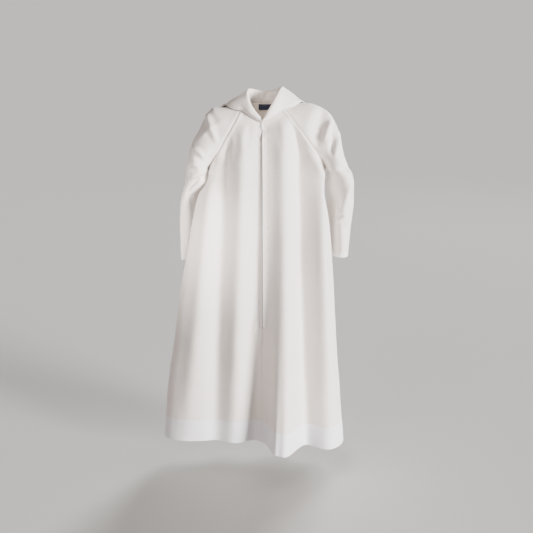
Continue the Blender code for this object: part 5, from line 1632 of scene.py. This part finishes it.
@dataclass
class Sewing:
    """The stitches that show: at the hem, the cuffs, beside and below the zip, and on the hood.

    Args:
        body: the rows of the fronts and the back.
        cloths: every panel, by name.
        stitch: the topstitch's size.
        zip_rows: the first row beside the zip that is stitched, and how many go on past its end.
        foot_lift: how far the stitches across the zip's foot lie above the cloth beside it.
        hood_hem: depth of the hood's hem.
        hood_plain: columns at the zip without stitches, as a part of them all.
    """

    body: Body
    cloths: dict[str, Cloth]
    stitch: Stitch = Stitch(length=0.0026, pitch=0.0032, thick=0.00045)
    zip_rows: tuple[int, int] = (2, 4)
    foot_lift: float = 0.0004
    hood_hem: float = Hood.hem_depth
    hood_plain: int = 3

    def sewn(self, name: str, lines: list[Line]) -> bpy.types.Object:
        """Returns the stitches along some lines as one mesh."""
        paced = [line.paced(self.stitch.pitch) for line in lines]
        points, runs, normals = (np.concatenate(parts) for parts in zip(*paced))
        thick = self.stitch.thick / 2
        return many(name, points, runs, normals, (self.stitch.length / 2, thick, thick), THREAD)

    def along_row(self, name: str, row: int) -> Line:
        """Returns a row of a panel, clear of its seams."""
        cloth = self.cloths[name]
        return Line(cloth.grid[row, 1:-1], cloth.normals[row, 1:-1])

    def beside_zip(self, side: Side) -> Line:
        """Returns the line down a front where its facing is stitched down."""
        cloth = self.cloths[f"alb_front_{side}"]
        rows = slice(self.zip_rows[0], self.body.row_at(ZIP_END_Z) + self.zip_rows[1])
        reach = reach_along(cloth.grid, 1)[rows]
        points, normals = (np.array([read_line(FACING_WIDTH, r, row) for r, row in zip(reach, rows_of)])
                           for rows_of in (cloth.grid[rows], cloth.normals[rows]))
        return Line(points, unit(normals))

    def below_zip(self, left: Line, right: Line) -> Line:
        """Returns the line across the zip's foot, between the ends of the lines beside it."""
        across = np.linspace(0, 1, 9)[:, None]
        points, normals = (to_right[-1] * (1 - across) + to_left[-1] * across for to_right, to_left in
                           ((right.points, left.points), (right.normals, left.normals)))
        lift = unit(left.normals[-1] + right.normals[-1]) * self.foot_lift
        return Line(points + lift, normals)

    def round_hood(self, side: Side) -> Line:
        """Returns the line along the hood's hem, where it is in view."""
        cloth = self.cloths[f"alb_hood_{side}"]
        fall = reach_along(cloth.grid, 0)
        columns = np.arange(cloth.grid.shape[1])[cloth.grid.shape[1] // self.hood_plain:]
        rows = np.argmin(abs(fall[-1:] - fall - self.hood_hem), axis=0)[columns]
        return Line(cloth.grid[rows, columns], cloth.normals[rows, columns])

    def pieces(self) -> list[bpy.types.Object]:
        """Returns all the stitches, a mesh for each place."""
        hem, cuff = self.body.row_at(HEM_TOP_Z) - 1, -1 - Sleeve.cuff_rows
        panels = ("alb_front_left", "alb_front_right", "alb_back")
        zipped = [self.beside_zip(side) for side in Side]
        return [self.sewn("stitch_hem", [self.along_row(name, hem) for name in panels]),
                self.sewn("stitch_cuffs", [self.along_row(f"alb_sleeve_{side}", cuff) for side in Side]),
                self.sewn("stitch_zip", zipped),
                self.sewn("stitch_zip_foot", [self.below_zip(*zipped)]),
                self.sewn("stitch_hood", [self.round_hood(side) for side in Side])]


# ---------------------------------------------------------------- zip

@dataclass(frozen=True)
class Plate:
    """A plate with rounded corners and softened rims.

    Args:
        size: across, thick and along.
        centre: its middle.
        rounding: radius of its four corners as seen from the front.
        bevel: of its rims.
    """

    size: Place
    centre: Place
    rounding: float
    bevel: float

    def build(self) -> bpy.types.Object:
        """Returns the plate."""
        bpy.ops.mesh.primitive_cube_add(size=1, location=self.centre, scale=self.size)
        bpy.ops.object.transform_apply(location=True, rotation=True, scale=True)
        piece = bpy.context.object
        mesh = piece.data
        for edge in mesh.edges:
            a, b = (mesh.vertices[i].co for i in edge.vertices)
            edge.select = abs(a.y - b.y) > self.size[1] / 2
        for item in (*mesh.vertices, *mesh.polygons):
            item.select = False
        bpy.ops.object.mode_set(mode="EDIT")
        bpy.ops.mesh.select_mode(type="EDGE")
        bpy.ops.mesh.bevel(offset=self.rounding, segments=5)
        bpy.ops.mesh.select_all(action="SELECT")
        bpy.ops.mesh.bevel(offset=self.bevel, segments=3)
        bpy.ops.object.mode_set(mode="OBJECT")
        return piece


@dataclass(frozen=True)
class Ring:
    """A round ring of wire.

    Args:
        centre: its middle.
        radius: to the middle of the wire.
        bar: across the wire.
        turn: degrees about X, Y and Z, from level.
    """

    centre: Place
    radius: float
    bar: float
    turn: Place

    def build(self) -> bpy.types.Object:
        """Returns the ring."""
        bpy.ops.mesh.primitive_torus_add(
            location=self.centre, major_radius=self.radius, minor_radius=self.bar / 2,
            major_segments=36, minor_segments=12,
            rotation=[math.radians(angle) for angle in self.turn])
        bpy.ops.object.transform_apply(location=True, rotation=True, scale=True)
        return bpy.context.object


@dataclass(frozen=True)
class Zip:
    """The zip's coil, its slider and the pull tab that hangs from the slider's bridge.

    Args:
        place: the slider's top, on the zip's centre line.
        tilt: of the zip there, in radians.
        hinge_y: the pull tab's hinge in the slider's bridge, out from the zip.
        hinge_z: the hinge, below the slider's top.
        coil_sunk: from the cloth's face to the middle of the coil.
        tooth_pitch: from one tooth to the next, on the other side.
        tooth_aside: from the zip's middle to a tooth's.
        tooth: half a tooth's length, width and height.
        ends_bare: teeth left out at the top and at the foot.
        slider_parts: a plate, the raised spine on it and the bridge, from the slider's top.
        pull_parts: a plate, the ring through the bridge and a raised rim, from the hinge.
    """

    place: Place = (0.0, -0.048998, -0.050425)
    tilt: float = -0.19196
    hinge_y: float = -0.0033
    hinge_z: float = -0.0046
    coil_sunk: float = 0.0012
    tooth_pitch: float = 0.0009
    tooth_aside: float = 0.0006
    tooth: Place = (0.0016, 0.00052, 0.0010)
    ends_bare: tuple[int, int] = (4, 3)
    slider_parts: tuple[Plate, Plate, Ring] = (
        Plate((0.0080, 0.0016, 0.0100), (0.0, -0.0014, -0.0050), 0.0016, 0.00045),
        Plate((0.0034, 0.0010, 0.0086), (0.0, -0.0024, -0.0048), 0.0012, 0.00030),
        Ring((0.0, -0.0031, -0.0046), 0.0022, 0.0012, (0, 90, 0)))
    pull_parts: tuple[Plate, Ring, Plate] = (
        Plate((0.0060, 0.0014, 0.0140), (0.0, -0.0002, -0.0109), 0.0019, 0.00030),
        Ring((0.0, 0.0, -0.0020), 0.0021, 0.0011, (90, 0, 0)),
        Plate((0.0044, 0.0007, 0.0114), (0.0, -0.0009, -0.0111), 0.0015, 0.00020))

    def coil(self, body: Body, left: Cloth, right: Cloth) -> bpy.types.Object:
        """Returns the coil's teeth, which lock by turns from both sides."""
        rows = body.zipped()
        centre = (left.grid[rows, 0] + right.grid[rows, 0]) / 2
        normals = unit((left.normals[rows, 0] + right.normals[rows, 0]) * np.array([0.0, 1.0, 1.0]))
        paced = Line(centre - normals * self.coil_sunk, normals).paced(self.tooth_pitch)
        top, foot = self.ends_bare
        points, runs, normals = (part[top:-foot] for part in paced)
        side = np.where(np.arange(len(points)) % 2 == 0, 1.0, -1.0)[:, None]
        across = unit(np.cross(runs, normals))
        return many("zip_coil", points + across * side * self.tooth_aside, across, normals,
                    self.tooth, COIL)

    def joined(self, name: str, parts: tuple[Plate | Ring, ...], offset: Place) -> bpy.types.Object:
        """Builds parts upright, joins them and lays them on the zip.

        Args:
            name: the joined piece's name.
            parts: around their own origin.
            offset: of that origin from the slider's top, square to the zip.

        Returns:
            The joined piece.
        """
        pieces = [part.build() for part in parts]
        bpy.ops.object.select_all(action="DESELECT")
        for piece in pieces:
            piece.select_set(True)
        bpy.context.view_layer.objects.active = pieces[0]
        bpy.ops.object.join()
        piece = bpy.context.object
        piece.name = piece.data.name = name
        turn = np.array([[1, 0, 0], [0, math.cos(self.tilt), -math.sin(self.tilt)],
                         [0, math.sin(self.tilt), math.cos(self.tilt)]])
        piece.location = np.array(self.place) + turn @ np.array(offset)
        piece.rotation_euler.x = self.tilt
        bpy.ops.object.transform_apply(location=True, rotation=True, scale=True)
        piece.data.shade_smooth()
        piece.data.materials.clear()
        piece.data.materials.append(ENAMEL.material())
        return piece

    def slider(self) -> bpy.types.Object:
        """Returns the slider."""
        return self.joined("slider_body", self.slider_parts, (0.0, 0.0, 0.0))

    def pull(self) -> bpy.types.Object:
        """Returns the pull tab."""
        return self.joined("pull_plate", self.pull_parts, (0.0, self.hinge_y, self.hinge_z))


# ---------------------------------------------------------------- studio

@dataclass(frozen=True)
class Light:
    """A soft light: a far one on everything, or a near one with a grid that lights one place.

    Args:
        name: the light's name.
        azimuth: degrees that it stands to the right of the camera, seen from the robe.
        height: degrees above level.
        spread: degrees across a far light itself, or across a near light's beam.
        strength: in watts to the square metre for a far light, else in watts.
        colour: sRGB code.
        target: what a near light is aimed at.
        distance: from the target, or 0 for a far light.
        size: across a near light's square face.
    """

    name: str
    azimuth: float
    height: float
    spread: float
    strength: float
    colour: str
    target: Place = (0.0, 0.0, 0.0)
    distance: float = 0.0
    size: float = 0.0

    def switch_on(self) -> None:
        """Adds the light."""
        if self.distance:
            data = bpy.data.lights.new(self.name, "AREA")
            data.size = self.size
            data.spread = math.radians(self.spread)
        else:
            data = bpy.data.lights.new(self.name, "SUN")
            data.angle = math.radians(self.spread)
        data.energy = self.strength
        data.color = linear(self.colour)[:3]
        lamp = bpy.data.objects.new(self.name, data)
        lamp.rotation_euler = (math.radians(90 - self.height), 0.0, math.radians(self.azimuth))
        back = lamp.rotation_euler.to_matrix() @ Vector((0.0, 0.0, self.distance))
        lamp.location = Vector(self.target) + back
        bpy.context.collection.objects.link(lamp)


LIGHTS = (
    Light("key", 54.0, 4.0, 20.0, 15.0, "FFFCF9"),
    Light("fill", -42.0, 12.0, 40.0, 1.1, "FFEFE8"),
    Light("rear", 156.0, 26.0, 24.0, 4.4, "FFFDFA"),
    Light("sleeve_light", -22.0, 4.0, 12.0, 0.8, "FFF8F2", (-0.245, -0.05, -0.37), 2.4, 0.25),
    Light("neck_light", 4.0, 52.0, 5.5, 0.035, "FFF1E4", (0.0, 0.03, -0.01), 1.8, 0.08),
)


@dataclass(frozen=True)
class Studio:
    """The floor, the surroundings, the lights and the camera.

    Args:
        floor_z: the floor's height.
        floor_side: its length and width.
        floor_fade: from where to where it starts to look like the surroundings.
        surroundings: their sRGB code.
        shed: how much light they give.
        seen: how bright they look.
        camera_place: where the camera stands.
        camera_down: degrees that it looks below level.
        camera_angle: degrees across its square frame.
    """

    floor_z: float = -1.14
    floor_side: float = 80.0
    floor_fade: tuple[float, float] = (3.5, 9.0)
    surroundings: str = "F6EFEC"
    shed: float = 0.06
    seen: float = 0.86
    camera_place: Place = (0.0123, -2.30, 0.05)
    camera_down: float = 13.28
    camera_angle: float = 38.4

    def fade_floor(self, material: bpy.types.Material) -> None:
        """Lets the camera see the floor fade into the surroundings far off."""
        tree = material.node_tree
        surface = tree.nodes["Material Output"].inputs["Surface"]
        near = surface.links[0].from_socket
        place = add_node(tree, "NewGeometry")
        reach = add_node(tree, "VectorMath", {0: place.outputs["Position"]}, operation="LENGTH")
        start, end = self.floor_fade
        far = add_node(tree, "MapRange", {"Value": reach.outputs["Value"], "From Min": start,
                                          "From Max": end}, interpolation_type="SMOOTHSTEP")
        rays = add_node(tree, "LightPath")
        share = add_node(tree, "Math", {0: far.outputs["Result"], 1: rays.outputs["Is Camera Ray"]},
                         operation="MULTIPLY")
        seen = add_node(tree, "Emission", {"Color": linear(self.surroundings), "Strength": self.seen})
        both = add_node(tree, "MixShader", {0: share.outputs[0], 1: near, 2: seen.outputs[0]})
        tree.links.new(both.outputs[0], surface)

    def lay_floor(self) -> None:
        """Adds the floor."""
        half = self.floor_side / 2
        corners = np.array([(x, y, self.floor_z) for x, y in
                            ((-half, -half), (half, -half), (half, half), (-half, half))])
        floor = mesh_piece("studio_floor", corners, [(0, 1, 2, 3)], FLOOR)
        self.fade_floor(floor.data.materials[0])

    def surround(self) -> None:
        """Adds the surroundings, which look as bright as the floor but shed less light."""
        world = bpy.data.worlds.new("studio")
        world.use_nodes = True
        tree = world.node_tree
        shed = tree.nodes["Background"]
        shed.inputs["Color"].default_value = linear(self.surroundings)
        shed.inputs["Strength"].default_value = self.shed
        seen = add_node(tree, "Background", {"Color": linear(self.surroundings), "Strength": self.seen})
        rays = add_node(tree, "LightPath")
        both = add_node(tree, "MixShader", {0: rays.outputs["Is Camera Ray"], 1: shed.outputs[0],
                                            2: seen.outputs[0]})
        tree.links.new(both.outputs[0], tree.nodes["World Output"].inputs["Surface"])
        bpy.context.scene.world = world

    def place_camera(self) -> None:
        """Adds the camera."""
        data = bpy.data.cameras.new("camera")
        data.sensor_fit = "HORIZONTAL"
        data.angle = math.radians(self.camera_angle)
        camera = bpy.data.objects.new("camera", data)
        camera.location = self.camera_place
        camera.rotation_euler = (math.radians(90 - self.camera_down), 0.0, 0.0)
        bpy.context.collection.objects.link(camera)
        bpy.context.scene.camera = camera

    def build(self) -> None:
        """Adds all of it."""
        self.lay_floor()
        for light in LIGHTS:
            light.switch_on()
        self.surround()
        self.place_camera()


# ---------------------------------------------------------------- assembly

@dataclass(frozen=True)
class Cut:
    """A panel's flat cut: its width and length in metres, its area, and what it hangs from."""

    width: float
    length: float
    area: float
    hangs_from: tuple[str, ...]


def neckline(side: Side, front: Cloth, arm: Cloth, back: Cloth) -> list[PanelColumn]:
    """Returns the neck's columns on one side, from the zip round to the back's centre."""
    last, middle = back.grid.shape[1] - 1, back.grid.shape[1] // 2
    behind = range(last - 1, middle - 1, -1) if side is Side.LEFT else range(1, middle + 1)
    return [PanelColumn(cloth.grid[:, j], cloth.normals[:, j]) for cloth, order in
            ((front, range(front.grid.shape[1])), (arm, range(1, arm.grid.shape[1])),
             (back, behind)) for j in order]


@dataclass
class Robe:
    """The robe's cloth: the body's panels and the sleeves sewn together, with the hood on them.

    Args:
        body: the fronts and the back.
    """

    body: Body

    def sew_body(self) -> tuple[list[Cloth], list[Cloth]]:
        """Returns the fronts and the back, and the sleeves, in their final shape."""
        torso = self.body.panels()
        sleeves = [Sleeve(side, self.body.yoke) for side in Side]
        arms = [sleeve.panel() for sleeve in sleeves]
        sewn = Sewn(torso + arms)
        for side, front in zip(Side, torso):
            self.body.shape_front(front, side)
        self.body.shape_back(torso[-1])
        for sleeve, arm in zip(sleeves, arms):
            sleeve.shape(arm)
        sewn.close_seams()
        for side, front in zip(Side, torso):
            front.grid[:, 0, 0] = np.where(self.body.zipped(), side.sign * self.body.zip_gap / 2, 0.0)
        return torso, arms

    def cloths(self) -> dict[str, Cloth]:
        """Returns every panel in its final shape, by name."""
        torso, arms = self.sew_body()
        hoods = [Hood(side, neckline(side, front, arm, torso[-1]))
                 for side, front, arm in zip(Side, torso, arms)]
        halves = [hood.panel() for hood in hoods]
        sewn = Sewn(halves)
        for hood, half in zip(hoods, halves):
            hood.shape(half)
        sewn.close_seams()
        for hood, half in zip(hoods, halves):
            half.normals[0] = np.array([column.normals[0] for column in hood.neck])
        return {cloth.name: cloth for cloth in torso + arms + halves}


def attach(piece: bpy.types.Object, body: str, slot: str, *nodes: str) -> None:
    """Puts a piece on a body and reports it.

    Args:
        piece: the piece.
        body: the body that it moves with.
        slot: a material slot's name, which is not used.
        nodes: the solids that it stands in for.
    """
    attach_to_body(piece, body)
    if nodes:
        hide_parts(*nodes)
    LOG.info("%s: %d faces", piece.name, len(piece.data.polygons))


def finish_solids(nodes: dict[str, bpy.types.Object]) -> None:
    """Gives the solids that stay in view their finishes."""
    for name, finish in (("zip_tape_left", TAPE), ("zip_tape_right", TAPE), ("zip_stop", ENAMEL),
                         ("neck_label", SATIN)):
        for slot in nodes[name].material_slots:
            slot.material = finish.material()


def main() -> None:
    """Builds the robe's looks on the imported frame."""
    logging.basicConfig(level=logging.INFO, format="%(message)s")
    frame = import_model()
    Studio().build()
    finish_solids(frame["nodes"])
    body = Body()
    cloths = Robe(body).cloths()
    shells = {name: cloth.shell() for name, cloth in cloths.items()}
    for name, piece in shells.items():
        attach(piece, ROBE_BODY, "cotton_cloth", cloths[name].node)
    for piece in Sewing(body, cloths).pieces():
        attach(piece, ROBE_BODY, "cotton_cloth")
    zipper = Zip()
    attach(zipper.slider(), ROBE_BODY, "zip_enamel", "zip_slider")
    attach(zipper.pull(), PULL_BODY, "zip_enamel", "zip_pull")
    teeth = zipper.coil(body, cloths["alb_front_left"], cloths["alb_front_right"])
    attach(teeth, ROBE_BODY, "zip_teeth", "zip_chain")


if __name__ == "__main__":
    main()
